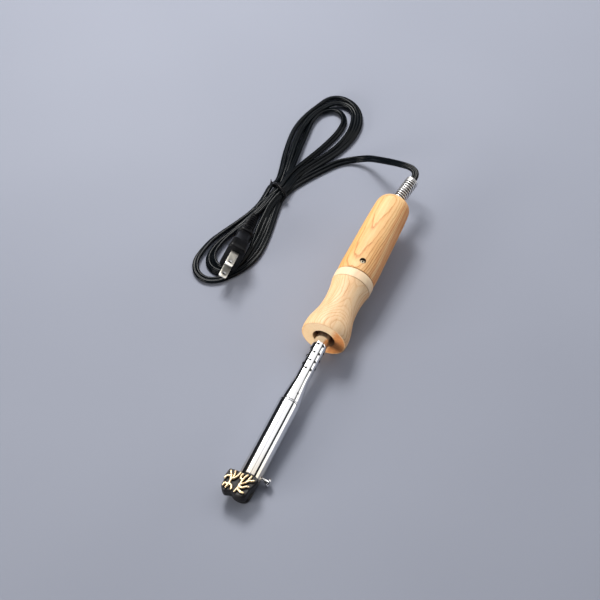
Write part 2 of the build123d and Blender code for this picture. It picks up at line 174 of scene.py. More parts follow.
# ------------------------------------------------------------------ materials
class NT:
    def __init__(self, name):
        self.m = bpy.data.materials.new(name)
        self.m.use_nodes = True
        self.t = self.m.node_tree
        self.t.nodes.clear()
        self.out = self.add("ShaderNodeOutputMaterial")
        self.b = self.add("ShaderNodeBsdfPrincipled")
        self.link(self.b.outputs[0], self.out.inputs[0])
        self.tc = self.add("ShaderNodeTexCoord")

    def add(self, kind, **kw):
        n = self.t.nodes.new(kind)
        for k, v in kw.items():
            setattr(n, k, v)
        return n

    def link(self, a, b):
        self.t.links.new(a, b)

    def val(self, sock, v):
        sock.default_value = v

    def mapping(self, rot=(0, 0, 0), scale=(1, 1, 1), loc=(0, 0, 0), src=None):
        n = self.add("ShaderNodeMapping")
        n.inputs["Rotation"].default_value = rot
        n.inputs["Scale"].default_value = scale
        n.inputs["Location"].default_value = loc
        self.link(src or self.tc.outputs["Object"], n.inputs["Vector"])
        return n.outputs[0]

    def noise(self, vec, scale=5, detail=3, rough=0.5, dist=0.0):
        n = self.add("ShaderNodeTexNoise")
        n.inputs["Scale"].default_value = scale
        n.inputs["Detail"].default_value = detail
        n.inputs["Roughness"].default_value = rough
        n.inputs["Distortion"].default_value = dist
        self.link(vec, n.inputs["Vector"])
        return n.outputs["Fac"]

    def math(self, op, a, b=None, c=None, clamp=False):
        n = self.add("ShaderNodeMath", operation=op)
        n.use_clamp = clamp
        for i, v in enumerate((a, b, c)):
            if v is None:
                continue
            if hasattr(v, "links") or hasattr(v, "is_output"):
                self.link(v, n.inputs[i])
            else:
                n.inputs[i].default_value = v
        return n.outputs[0]

    def ramp(self, fac, stops, interp="LINEAR"):
        n = self.add("ShaderNodeValToRGB")
        n.color_ramp.interpolation = interp
        els = n.color_ramp.elements
        while len(els) > 1:
            els.remove(els[-1])
        els[0].position, els[0].color = stops[0][0], (*stops[0][1], 1) if len(stops[0][1]) == 3 else stops[0][1]
        for p, c in stops[1:]:
            e = els.new(p)
            e.color = (*c, 1) if len(c) == 3 else c
        self.link(fac, n.inputs[0])
        return n.outputs[0]

    def mix(self, fac, a, b, blend="MIX"):
        n = self.add("ShaderNodeMix", data_type="RGBA", blend_type=blend)
        for s, v in ((n.inputs[0], fac), (n.inputs[6], a), (n.inputs[7], b)):
            if hasattr(v, "is_output"):
                self.link(v, s)
            elif isinstance(v, (tuple, list)):
                s.default_value = (*v, 1) if len(v) == 3 else v
            else:
                s.default_value = v
        return n.outputs[2]

    def step(self, v, a, b):
        """0 at a, 1 at b, straight between"""
        n = self.add("ShaderNodeMapRange")
        n.clamp = True
        self.link(v, n.inputs["Value"])
        n.inputs["From Min"].default_value = a
        n.inputs["From Max"].default_value = b
        n.inputs["To Min"].default_value = 0.0
        n.inputs["To Max"].default_value = 1.0
        return n.outputs["Result"]

    def bump(self, height, strength=0.3, distance=0.0002, normal=None):
        n = self.add("ShaderNodeBump")
        n.inputs["Strength"].default_value = strength
        n.inputs["Distance"].default_value = distance
        self.link(height, n.inputs["Height"])
        if normal is not None:
            self.link(normal, n.inputs["Normal"])
        return n.outputs[0]

    def set(self, **kw):
        for k, v in kw.items():
            s = self.b.inputs[k.replace("_", " ")]
            if hasattr(v, "is_output"):
                self.link(v, s)
            elif isinstance(v, (tuple, list)) and len(v) == 3 and s.type == "RGBA":
                s.default_value = (*v, 1)
            else:
                s.default_value = v
        return self


def srgb(r, g, b):
    def f(c):
        c /= 255.0
        return c / 12.92 if c <= 0.04045 else ((c + 0.055) / 1.055) ** 2.4
    return (f(r), f(g), f(b))


def axis_coords(n):
    """Object coordinates turned into the iron's frame, in metres: x across, y along the axis, z up."""
    return n.mapping(rot=(-TILT, 0, 0), loc=tuple(-(Matrix.Rotation(-TILT, 3, 'X') @ (O * MM))))


def wood(name, light, mid, dark, pith, tilt, ring=0.0016, seed=0.0, warp=0.0016, lines=0.42):
    """Turned pale hardwood: thin darker growth lines round a pith below the piece, wavy along the grain, with fibres and pores."""
    n = NT(name)
    base = axis_coords(n)
    sh = n.add("ShaderNodeVectorMath", operation="ADD")
    sh.inputs[1].default_value = (pith[0], 0.0, pith[1])
    n.link(base, sh.inputs[0])
    rot = n.mapping(rot=(tilt[0], 0, tilt[1]), src=sh.outputs[0])
    w1 = n.noise(n.mapping(scale=(60, 18, 60), src=base, loc=(seed, seed * 1.7, 0)), 1.0, 2, 0.5)
    w2 = n.noise(n.mapping(scale=(300, 110, 300), src=base, loc=(seed * 2, 1.3, seed)), 1.0, 2, 0.5)
    sep = n.add("ShaderNodeSeparateXYZ")
    n.link(rot, sep.inputs[0])
    d2 = n.math("ADD", n.math("MULTIPLY", sep.outputs[0], sep.outputs[0]), n.math("MULTIPLY", sep.outputs[2], sep.outputs[2]))
    d = n.math("SQRT", d2)
    d = n.math("ADD", d, n.math("MULTIPLY", n.math("SUBTRACT", w1, 0.5), warp * 2.2))
    d = n.math("ADD", d, n.math("MULTIPLY", n.math("SUBTRACT", w2, 0.5), warp * 0.45))
    year = n.math("DIVIDE", d, ring)
    f = n.math("FRACT", year)
    # each year: slow rise, thin dark line, sharp fall; the years differ in strength
    rings = n.ramp(f, [(0.0, (0.12,) * 3), (0.40, (0.04,) * 3), (0.72, (0.34,) * 3), (0.90, (1, 1, 1)), (0.96, (0.8,) * 3), (1.0, (0.12,) * 3)])
    wn = n.add("ShaderNodeTexWhiteNoise", noise_dimensions="1D")
    n.link(n.math("FLOOR", year), wn.inputs["W"])
    strong = n.noise(n.mapping(scale=(150, 16, 150), src=base, loc=(seed * 5, 0, 2)), 1.0, 2, 0.5)
    rings = n.math("MULTIPLY", rings, n.math("ADD", 0.15, n.math("ADD", n.math("MULTIPLY", strong, 0.75), n.math("MULTIPLY", wn.outputs["Value"], 0.55))))
    fib = n.noise(n.mapping(scale=(1500, 34, 1500), src=base, loc=(seed, 0, seed)), 1.0, 4, 0.65)
    fib2 = n.noise(n.mapping(scale=(430, 13, 430), src=base, loc=(seed * 2, 3, 1)), 1.0, 4, 0.6)
    broad = n.noise(n.mapping(scale=(64, 17, 64), src=base, loc=(seed * 3, 1, 2)), 1.0, 2, 0.5)
    k = n.math("ADD", n.math("MULTIPLY", rings, lines), n.math("MULTIPLY", fib, 0.34))
    k = n.math("ADD", k, n.math("MULTIPLY", fib2, 0.42))
    k = n.math("ADD", k, n.math("MULTIPLY", n.math("SUBTRACT", broad, 0.5), 0.50))
    col = n.ramp(k, [(0.26, light), (0.52, mid), (0.86, dark)])
    vor = n.add("ShaderNodeTexVoronoi")
    vor.inputs["Scale"].default_value = 1.0
    n.link(n.mapping(scale=(1700, 170, 1700), src=base), vor.inputs["Vector"])
    pores = n.ramp(vor.outputs["Distance"], [(0.0, (1, 1, 1)), (0.12, (0.8,) * 3), (0.22, (0, 0, 0))])
    col = n.mix(n.math("MULTIPLY", pores, 0.32), col, tuple(c * 0.45 for c in dark))
    return n, base, col, fib, fib2, rings, k


def round_angle(n, base):
    """How far round the handle, 0 at the left-hand edge to 1 at the right-hand edge, with the streaks wandering a little."""
    sep = n.add("ShaderNodeSeparateXYZ")
    n.link(base, sep.inputs[0])
    a = n.math("ARCTAN2", sep.outputs[0], sep.outputs[2])
    wob = n.noise(n.mapping(scale=(90, 22, 90), src=base, loc=(3, 7, 1)), 1.0, 3, 0.6)
    u = n.math("DIVIDE", n.math("ADD", a, math.radians(72)), math.pi)
    return n.math("ADD", u, n.math("MULTIPLY", n.math("SUBTRACT", wob, 0.5), 0.16)), sep


def mat_wood_rear():
    n, base, col, fib, fib2, rings, k = wood("wood_rear", srgb(241, 202, 149), srgb(227, 175, 116), srgb(180, 110, 52),
                                             (-0.002, 0.019), (0.062, 0.020), ring=0.00115, seed=4.3, warp=0.0013, lines=0.50)
    u, sep = round_angle(n, base)
    # warmer streaks along the right-hand side, a yellower left edge
    side = n.ramp(u, [(0.62, (0, 0, 0)), (0.67, (0.72,) * 3), (0.70, (0.10,) * 3), (0.735, (0.05,) * 3), (0.78, (0.95,) * 3),
                      (0.82, (0.45,) * 3), (0.86, (1, 1, 1)), (0.93, (0.55,) * 3), (1.0, (0.8,) * 3)])
    col = n.mix(n.math("MULTIPLY", side, n.math("ADD", 0.42, n.math("MULTIPLY", fib2, 0.50))), col, srgb(204, 112, 40))
    left = n.ramp(u, [(0.04, (1, 1, 1)), (0.24, (0, 0, 0))])
    col = n.mix(n.math("MULTIPLY", left, 0.62), col, srgb(232, 166, 72))
    # dark line in the joint groove, and painted shade darkening the screw's recess and its rim to near black
    groove = n.step(sep.outputs[1], 0.1862, 0.1857)
    col = n.mix(n.math("MULTIPLY", groove, 0.55), col, srgb(120, 74, 36))
    rs = screw_radius(n, sep)
    col = n.mix(n.math("MULTIPLY", n.step(rs, 0.00262, 0.00225), 0.97), col, srgb(40, 22, 12))
    rough = n.ramp(fib, [(0.3, (0.46,) * 3), (0.7, (0.62,) * 3)])
    hgt = n.math("ADD", n.math("MULTIPLY", fib, 0.6), n.math("MULTIPLY", rings, 0.3))
    n.set(Base_Color=col, Roughness=rough, Normal=n.bump(hgt, 0.22, 0.00012))
    n.set(Coat_Weight=0.06, Coat_Roughness=0.4)
    n.b.inputs["Specular IOR Level"].default_value = 0.3
    n.b.inputs["Subsurface Weight"].default_value = 0.04
    n.b.inputs["Subsurface Radius"].default_value = (0.002, 0.001, 0.0005)
    return n.m


def screw_radius(n, sep):
    """Distance from the line of the handle screw."""
    a = math.radians(12)
    q = n.math("SUBTRACT", n.math("MULTIPLY", sep.outputs[0], math.cos(a)), n.math("MULTIPLY", sep.outputs[2], math.sin(a)))
    r = n.math("SUBTRACT", sep.outputs[1], 0.194)
    return n.math("SQRT", n.math("ADD", n.math("MULTIPLY", q, q), n.math("MULTIPLY", r, r)))


def mat_wood_front():
    n, base, col, fib, fib2, rings, k = wood("wood_front", srgb(241, 209, 168), srgb(230, 189, 144), srgb(194, 134, 82),
                                             (0.014, 0.021), (-0.05, 0.030), ring=0.00105, seed=9.1, warp=0.0012, lines=0.34)
    u, sep = round_angle(n, base)
    y = sep.outputs[1]
    left = n.ramp(u, [(0.02, (1, 1, 1)), (0.20, (0, 0, 0))])
    col = n.mix(n.math("MULTIPLY", left, 0.40), col, srgb(236, 178, 96))
    side = n.ramp(u, [(0.80, (0, 0, 0)), (0.88, (0.8,) * 3), (0.92, (0.3,) * 3), (1.0, (0.7,) * 3)])
    col = n.mix(n.math("MULTIPLY", side, 0.40), col, srgb(216, 140, 74))
    band = n.math("MULTIPLY", n.step(y, 0.1774, 0.1777), n.step(y, 0.1853, 0.1851))
    col = n.mix(n.math("MULTIPLY", band, 0.60), col, srgb(249, 224, 190))
    groove = n.math("MAXIMUM", n.math("MULTIPLY", n.step(y, 0.1770, 0.17735), n.step(y, 0.17785, 0.1775)), n.step(y, 0.1849, 0.1852))
    col = n.mix(n.math("MULTIPLY", groove, 0.45), col, srgb(150, 98, 52))
    # front face: mixed halfway towards a pale cream, a redder tint to the right that is painted shade of the rounded
    # face, and painted shade darkening the recess round the hole
    r2 = n.math("SQRT", n.math("ADD", n.math("MULTIPLY", sep.outputs[0], sep.outputs[0]), n.math("MULTIPLY", sep.outputs[2], sep.outputs[2])))
    face = n.step(y, 0.1287, 0.1282)
    inner = n.step(r2, 0.0166, 0.0158)
    xw = n.math("ADD", sep.outputs[0], n.math("MULTIPLY", n.math("SUBTRACT", fib2, 0.5), 0.004))
    # painted shade: the right part of the face is tinted a darker red-orange, for the side of the rounded face turned
    # away from the light
    right_side_shade = n.step(n.math("SUBTRACT", xw, n.math("MULTIPLY", sep.outputs[2], 0.30)), 0.0030, 0.0075)
    endg = n.noise(n.mapping(scale=(420, 420, 420), src=base), 1.0, 4, 0.6)
    right_shade_col = n.ramp(endg, [(0.3, srgb(226, 146, 70)), (0.7, srgb(196, 110, 48))])
    col = n.mix(n.math("MULTIPLY", n.math("MULTIPLY", face, inner), 0.5), col, srgb(252, 226, 184))
    col = n.mix(n.math("MULTIPLY", n.math("MULTIPLY", n.math("MULTIPLY", face, inner), right_side_shade), 0.88), col, right_shade_col)
    # painted shade: the recess round the hole is darkened to dark brown, more so further in
    hole = n.step(r2, 0.0089, 0.0085)
    recess_shade_depth = n.math("ADD", 0.45, n.math("MULTIPLY", n.step(y, 0.1284, 0.1330), 0.5))
    col = n.mix(n.math("MULTIPLY", hole, recess_shade_depth), col, srgb(70, 30, 18))
    rough = n.ramp(fib, [(0.3, (0.46,) * 3), (0.7, (0.62,) * 3)])
    hgt = n.math("ADD", n.math("MULTIPLY", fib, 0.6), n.math("MULTIPLY", rings, 0.3))
    n.set(Base_Color=col, Roughness=rough, Normal=n.bump(hgt, 0.22, 0.00012))
    n.set(Coat_Weight=0.05, Coat_Roughness=0.4)
    n.b.inputs["Specular IOR Level"].default_value = 0.3
    n.b.inputs["Subsurface Weight"].default_value = 0.04
    n.b.inputs["Subsurface Radius"].default_value = (0.002, 0.001, 0.0005)
    return n.m


def mat_screw_head():
    """Pale plated head; painted shade darkens the middle of the driver recess and the rim of the head."""
    n = NT("screw_steel")
    base = axis_coords(n)
    sep = n.add("ShaderNodeSeparateXYZ")
    n.link(base, sep.inputs[0])
    rs = screw_radius(n, sep)
    g = n.noise(n.mapping(scale=(900, 900, 900), src=base), 1.0, 3, 0.6)
    col = n.ramp(g, [(0.3, srgb(226, 204, 168)), (0.7, srgb(250, 236, 208))])
    rw = n.math("ADD", rs, n.math("MULTIPLY", n.math("SUBTRACT", g, 0.5), 0.0003))
    # painted shade: a near-black disc in the middle of the cross recess, and a darker brown ring at the rim where the
    # head sits in its hole
    col = n.mix(n.math("MULTIPLY", n.step(rw, 0.00075, 0.00052), 0.97), col, srgb(34, 22, 14))
    col = n.mix(n.math("MULTIPLY", n.step(rw, 0.00165, 0.00192), 0.8), col, srgb(96, 66, 40))
    n.set(Base_Color=col, Metallic=0.55, Roughness=n.ramp(g, [(0.3, (0.30,) * 3), (0.7, (0.42,) * 3)]), Normal=n.bump(g, 0.1, 0.00005))
    return n.m


def mat_metal(name, color, rough=0.12, scratch=0.35, along=True, heat=None, dull=0.0, hole_shade=None):
    n = NT(name)
    base = axis_coords(n)
    sc = n.noise(n.mapping(scale=(2600, 60, 2600) if along else (2600, 2600, 2600), src=base), 1.0, 2, 0.6)
    cl = n.noise(n.mapping(scale=(90, 45, 90), src=base), 1.0, 3, 0.6)
    fine = n.noise(n.mapping(scale=(1400, 1400, 1400), src=base), 1.0, 3, 0.7)
    col = n.mix(n.math("MULTIPLY", cl, 0.35), color, tuple(c * 0.86 for c in color))
    if heat:
        sep = n.add("ShaderNodeSeparateXYZ")
        n.link(base, sep.inputs[0])
        yy = n.math("ADD", n.math("MULTIPLY", sep.outputs[1], 1000.0 / heat[1]), n.math("MULTIPLY", n.math("SUBTRACT", cl, 0.5), 0.25))
        h = n.ramp(yy, [(0.0, (1, 1, 1)), (0.35, (0.6, 0.6, 0.6)), (1.0, (0, 0, 0))])
        col = n.mix(n.math("MULTIPLY", h, heat[2]), col, heat[0])
    r = n.math("ADD", rough, n.math("MULTIPLY", n.math("SUBTRACT", cl, 0.4), 0.16))
    r = n.math("ADD", r, n.math("MULTIPLY", n.math("SUBTRACT", sc, 0.5), 0.10), clamp=True)
    nb = n.bump(sc, scratch * 0.12, 0.00003)
    nb = n.bump(fine, 0.03 + dull, 0.00004, normal=nb)
    metal = 1.0
    if hole_shade:
        # painted shade: the tube's bore and the walls of its holes are darkened to near black, duller and less metallic
        sp = n.add("ShaderNodeSeparateXYZ")
        n.link(base, sp.inputs[0])
        rr = n.math("SQRT", n.math("ADD", n.math("MULTIPLY", sp.outputs[0], sp.outputs[0]), n.math("MULTIPLY", sp.outputs[2], sp.outputs[2])))
        k = n.math("MULTIPLY", n.step(rr, hole_shade[0], hole_shade[1]), n.step(sp.outputs[1], hole_shade[2], hole_shade[2] + 0.002))
        col = n.mix(k, col, srgb(14, 12, 11))
        metal = n.math("SUBTRACT", 1.0, n.math("MULTIPLY", k, 0.9))
        r = n.math("ADD", r, n.math("MULTIPLY", k, 0.5), clamp=True)
    n.set(Base_Color=col, Metallic=metal, Roughness=r, Normal=nb)
    return n.m


def mat_spring():
    """Bright wire, with painted shade darkening the side of each turn that faces the cord."""
    n = NT("spring_wire")
    base = axis_coords(n)
    at = n.add("ShaderNodeAttribute", attribute_name="inside")
    g = n.noise(n.mapping(scale=(900, 900, 900), src=base), 1.0, 3, 0.6)
    # painted shade: the part of each turn facing the cord, and so the gaps between turns, is darkened to near black
    k = n.step(n.math("ADD", at.outputs["Fac"], n.math("MULTIPLY", n.math("SUBTRACT", g, 0.5), 0.2)), 0.30, 0.62)
    bright = n.ramp(g, [(0.3, srgb(226, 225, 224)), (0.7, srgb(244, 243, 242))])
    col = n.mix(k, bright, srgb(12, 11, 11))
    rough = n.math("ADD", 0.34, n.math("MULTIPLY", k, 0.4))
    n.set(Base_Color=col, Metallic=n.math("SUBTRACT", 1.0, n.math("MULTIPLY", k, 0.8)), Roughness=rough, Normal=n.bump(g, 0.05, 0.00004))
    return n.m


def mat_stamp():
    n = NT("stamp_metal")
    base = axis_coords(n)
    at = n.add("ShaderNodeAttribute", attribute_name="ridge")
    big = n.noise(n.mapping(scale=(260, 260, 260), src=base), 1.0, 4, 0.6)
    fine = n.noise(n.mapping(scale=(1500, 1500, 1500), src=base), 1.0, 5, 0.7)
    k = n.math("ADD", at.outputs["Fac"], n.math("MULTIPLY", n.math("SUBTRACT", fine, 0.5), 0.35))
    k = n.math("ADD", k, n.math("MULTIPLY", n.math("SUBTRACT", big, 0.5), 0.35))
    m = n.ramp(k, [(0.50, (0, 0, 0)), (0.66, (1, 1, 1))])
    black = n.ramp(big, [(0.3, srgb(8, 8, 9)), (0.66, srgb(20, 15, 12)), (0.84, srgb(58, 36, 22))])
    brass = n.ramp(fine, [(0.25, srgb(184, 144, 98)), (0.5, srgb(236, 208, 164)), (0.75, srgb(253, 238, 212))])
    col = n.mix(m, black, brass)
    rough = n.ramp(m, [(0.0, (0.46,) * 3), (1.0, (0.36,) * 3)])
    metal = n.ramp(m, [(0.0, (0.35,) * 3), (1.0, (0.75,) * 3)])
    nb = n.bump(big, 0.35, 0.00025)
    nb = n.bump(fine, 0.28, 0.00012, normal=nb)
    n.set(Base_Color=col, Roughness=rough, Metallic=metal, Normal=nb)
    return n.m


def mat_cord():
    n = NT("cord_pvc")
    v = n.tc.outputs["Object"]
    big = n.noise(n.mapping(scale=(70, 70, 70), src=v), 1.0, 3, 0.5)
    fine = n.noise(n.mapping(scale=(2200, 2200, 2200), src=v), 1.0, 3, 0.7)
    ln = n.noise(n.mapping(scale=(900, 900, 900), src=v), 1.0, 1, 0.5)
    col = n.ramp(big, [(0.3, srgb(6, 9, 12)), (0.7, srgb(13, 17, 21))])
    dust = n.ramp(fine, [(0.62, (0, 0, 0)), (0.78, (1, 1, 1))])
    col = n.mix(n.math("MULTIPLY", dust, 0.04), col, srgb(150, 150, 145))
    r = n.math("ADD", 0.18, n.math("MULTIPLY", n.math("SUBTRACT", big, 0.5), 0.12))
    nb = n.bump(fine, 0.08, 0.00005)
    nb = n.bump(ln, 0.10, 0.00008, normal=nb)
    n.set(Base_Color=col, Roughness=r, Normal=nb)
    n.b.inputs["Specular IOR Level"].default_value = 0.10
    return n.m


def mat_plastic(name, dark, light, rough=0.42, grain=1200, bump=0.12):
    n = NT(name)
    v = n.tc.outputs["Object"]
    big = n.noise(n.mapping(scale=(120, 120, 120), src=v), 1.0, 3, 0.5)
    fine = n.noise(n.mapping(scale=(grain, grain, grain), src=v), 1.0, 3, 0.6)
    col = n.ramp(big, [(0.3, dark), (0.7, light)])
    sc = n.ramp(fine, [(0.66, (0, 0, 0)), (0.8, (1, 1, 1))])
    col = n.mix(n.math("MULTIPLY", sc, 0.08), col, tuple(min(1, c * 3 + 0.01) for c in light))
    n.b.inputs["Specular IOR Level"].default_value = 0.15
    r = n.math("ADD", rough, n.math("MULTIPLY", n.math("SUBTRACT", big, 0.5), 0.2))
    n.set(Base_Color=col, Roughness=r, Normal=n.bump(fine, bump, 0.00008))
    return n.m


def mat_plain(name, a, b, rough, metallic=0.0, scale=300, stretch=(1, 1, 1), bump=0.15):
    n = NT(name)
    v = axis_coords(n)
    f = n.noise(n.mapping(scale=tuple(scale * s for s in stretch), src=v), 1.0, 4, 0.6)
    g = n.noise(n.mapping(scale=(scale * 5,) * 3, src=v), 1.0, 2, 0.6)
    col = n.ramp(f, [(0.3, a), (0.7, b)])
    r = n.math("ADD", rough, n.math("MULTIPLY", n.math("SUBTRACT", f, 0.5), 0.2))
    n.set(Base_Color=col, Roughness=r, Metallic=metallic, Normal=n.bump(g, bump, 0.00008))
    return n.m


M_REAR, M_FRONT = mat_wood_rear(), mat_wood_front()
M_BARREL = mat_metal("chrome_barrel", srgb(226, 226, 228), 0.065, 0.4, heat=(srgb(196, 176, 140), 26.0, 0.55))
# the shank's bore and hole walls get painted shade, darkened to near black
M_SHANK = mat_metal("chrome_shank", srgb(228, 228, 230), 0.075, 0.4, hole_shade=(0.00547, 0.00540, 0.0900))
M_SCREWCH = mat_metal("chrome_screw", srgb(222, 222, 222), 0.16, 0.2, along=False)
M_SPRING = mat_spring()
M_DARKSTEEL = mat_screw_head()
M_INNERSTEEL = mat_metal("inner_steel", srgb(168, 166, 164), 0.32, 0.4)
M_BLADE = mat_metal("nickel_blade", srgb(244, 240, 230), 0.30, 0.15)
M_BRASS = mat_metal("terminal_brass", srgb(212, 172, 96), 0.24, 0.3, along=False)
M_STUD = mat_metal("stud_brass", srgb(150, 118, 70), 0.4, 0.5, heat=(srgb(60, 44, 34), 30.0, 0.8), dull=0.12)
M_STAMP = mat_stamp()
M_CORD = mat_cord()
M_PLUG = mat_plastic("plug_pvc", srgb(9, 9, 11), srgb(19, 20, 23), 0.34)
M_TIE = mat_plastic("tie_pvc", srgb(14, 14, 15), srgb(26, 26, 28), 0.22, 900, 0.06)
M_PHENOL = mat_plain("phenolic_brown", srgb(58, 30, 18), srgb(84, 44, 26), 0.45)
M_MICA = mat_plain("mica_sheet", srgb(176, 160, 122), srgb(214, 200, 166), 0.32, scale=180, stretch=(1, 0.3, 1))
M_WIRE = mat_plain("resistance_wire", srgb(92, 84, 80), srgb(140, 128, 120), 0.4, 0.9, scale=500)
M_BEAD = mat_plain("bead_ceramic", srgb(214, 208, 194), srgb(238, 234, 224), 0.55, scale=240)

# ------------------------------------------------------------------ carried-over CAD nodes get their finishes
def finish_node(name, mat):
    o = nodes[name]
    if not o.material_slots:
        o.data.materials.append(mat)
    for s in o.material_slots:
        s.link = 'OBJECT'
        s.material = mat


for nm, mt in {"shank_spacer": M_PHENOL, "stamp_bush": M_INNERSTEEL, "core_tube": M_INNERSTEEL, "mica_inner": M_MICA,
               "heating_winding": M_WIRE, "mica_outer": M_MICA, "element_leads": M_WIRE, "lead_beads": M_BEAD,
               "terminal_block": M_PHENOL, "terminal_sleeves": M_BRASS, "terminal_screws": M_BRASS,
               "cord_conductors": M_BRASS, "cord_crimp": M_INNERSTEEL, "cord_inner": M_CORD, "guard_washer": M_INNERSTEEL,
               "stamp_stud": M_STUD}.items():
    finish_node(nm, mt)

# ------------------------------------------------------------------ turned handle
def prof_outer(pts, n=7):
    return [(p.x, p.y) for p in catmull([(r, l, 0) for r, l in pts], n)]


front_outer = prof_outer([(17.3, 128.9), (17.46, 130.0), (17.5, 131.6), (17.35, 135), (16.95, 138), (16.3, 141), (15.15, 145.3),
                          (13.95, 150.5), (13.35, 155.7), (13.15, 160.9), (13.35, 166.2), (13.85, 171.4), (14.5, 175), (14.95, 177.2)])
face = [(8.3, 134.0), (8.3, 128.5), (8.4, 128.16), (8.7, 128.0), (12.0, 128.0), (15.4, 128.0), (16.4, 128.0), (16.85, 128.06), (17.12, 128.22), (17.25, 128.5)]
band = [(14.72, 177.45), (14.72, 177.65), (15.1, 177.85), (15.18, 178.2), (15.22, 180.0), (15.22, 183.0), (15.17, 184.7), (15.05, 185.05),
        (14.7, 185.18), (10.6, 185.2), (10.6, 169.2), (5.7, 169.2), (5.7, 134.0)]
handle_front = lathe("handle_front_turned", face + front_outer + band, 160, mats=[M_FRONT])
sharp_by_angle(handle_front, 38)

rear_outer = prof_outer([(14.9, 186.2), (15.0, 189), (15.12, 192.6), (15.12, 198), (14.96, 203.4), (14.82, 208.8), (14.7, 214.3),
                         (14.6, 219.8), (14.5, 225.3), (14.4, 230.8), (14.3, 236.4), (14.15, 241.9), (13.95, 247.5), (13.7, 253.1),
                         (13.4, 257.6), (12.95, 260.6), (12.1, 262.9), (10.7, 264.7), (9.0, 265.65), (7.6, 265.95)])
rear_in = [(6.0, 265.97), (5.75, 265.7), (5.75, 260.0), (3.3, 260.0), (3.3, 226.0), (8.0, 226.0), (8.0, 176.3), (10.45, 176.3),
           (10.45, 185.25), (14.3, 185.25), (14.62, 185.5)]
handle_rear = lathe("handle_rear_turned", rear_outer + rear_in, 160, mats=[M_REAR])


def cutter(name, dist, angle, r, a, b, seg=48):
    an = math.radians(angle)
    nrm = UPV * math.cos(an) + XV * math.sin(an)
    c0, c1 = O + A * dist + nrm * a, O + A * dist + nrm * b
    t = nrm.cross(A).normalized()
    vs, fs = [], []
    for c in (c0, c1):
        for k in range(seg):
            q = 2 * math.pi * k / seg
            vs.append(c + A * (r * math.cos(q)) + t * (r * math.sin(q)))
    for k in range(seg):
        k2 = (k + 1) % seg
        fs.append((k, k2, seg + k2, seg + k))
    fs.append(tuple(range(seg))[::-1])
    fs.append(tuple(range(seg, 2 * seg)))
    o = ob_from(name, vs, fs)
    sharp_by_angle(o)
    return o


def join(objs, name):
    bpy.ops.object.select_all(action='DESELECT')
    for o in objs:
        o.select_set(True)
    bpy.context.view_layer.objects.active = objs[0]
    bpy.ops.object.join()
    objs[0].name = name
    return objs[0]


def boolean(o, tool, op='DIFFERENCE'):
    m = o.modifiers.new("b", 'BOOLEAN')
    m.operation = op
    m.solver = 'EXACT'
    m.object = tool
    apply_mods(o)
    bpy.data.objects.remove(tool)


def weld(o, dist=1e-7):
    bm = bmesh.new()
    bm.from_mesh(o.data)
    bmesh.ops.remove_doubles(bm, verts=bm.verts, dist=dist)
    bmesh.ops.dissolve_degenerate(bm, dist=dist, edges=bm.edges)
    bm.to_mesh(o.data)
    bm.free()


boolean(handle_rear, join([cutter("c1", 194, 12, 2.15, 11.6, 17.0), cutter("c2", 194, 12, 1.3, 7.0, 12.0)], "c"))
weld(handle_rear, 2e-6)
sharp_by_angle(handle_rear, 38)

# recessed screw with a slot, in its own hole
def rad_matrix(dist, angle, out=0.0, spin=0.0):
    """local y points radially out, local z along the iron's axis"""
    an = math.radians(angle)
    nrm = UPV * math.cos(an) + XV * math.sin(an)
    z = A.copy()
    x = nrm.cross(z)
    M = Matrix(((x.x, nrm.x, z.x, 0), (x.y, nrm.y, z.y, 0), (x.z, nrm.z, z.z, 0), (0, 0, 0, 1)))
    c = O + A * dist + nrm * out
    return Matrix.Translation(c) @ M @ Matrix.Rotation(spin, 4, 'Y')


def slot_cut(M, w, length, depth, top):
    vs = [M @ Vector((x, y, z)) for x in (-length / 2, length / 2) for y in (top - depth, top + 2) for z in (-w / 2, w / 2)]
    fs = [(0, 1, 3, 2), (4, 6, 7, 5), (0, 4, 5, 1), (2, 3, 7, 6), (0, 2, 6, 4), (1, 5, 7, 3)]
    o = ob_from("slot", vs, fs)
    bm = bmesh.new(); bm.from_mesh(o.data)
    bmesh.ops.recalc_face_normals(bm, faces=bm.faces)
    bm.to_mesh(o.data); bm.free()
    return o


MS = rad_matrix(194, 12)
hs = lathe("handle_screw_slotted", [(0, 4.6), (0.9, 4.6), (1.2, 4.9), (1.2, 11.65), (1.9, 11.65), (1.95, 11.75), (1.95, 12.9),
                                    (1.88, 13.2), (1.5, 13.5), (0.9, 13.66), (0, 13.72)], 64, closed=False, mats=[M_DARKSTEEL], matrix=MS)
for turn in (0.6, 0.6 + math.pi / 2):
    boolean(hs, slot_cut(rad_matrix(194, 12, spin=turn), 0.42, 1.5, 0.8, 13.72))
sharp_by_angle(hs, 30)

# ------------------------------------------------------------------ perforated shank
def dense(profile, step=1.6):
    out = []
    m = len(profile)
    for i in range(m):
        a, b = Vector(profile[i]), Vector(profile[(i + 1) % m])
        k = max(1, int((b - a).length / step))
        for j in range(k):
            out.append(tuple(a.lerp(b, j / k)))
    return out


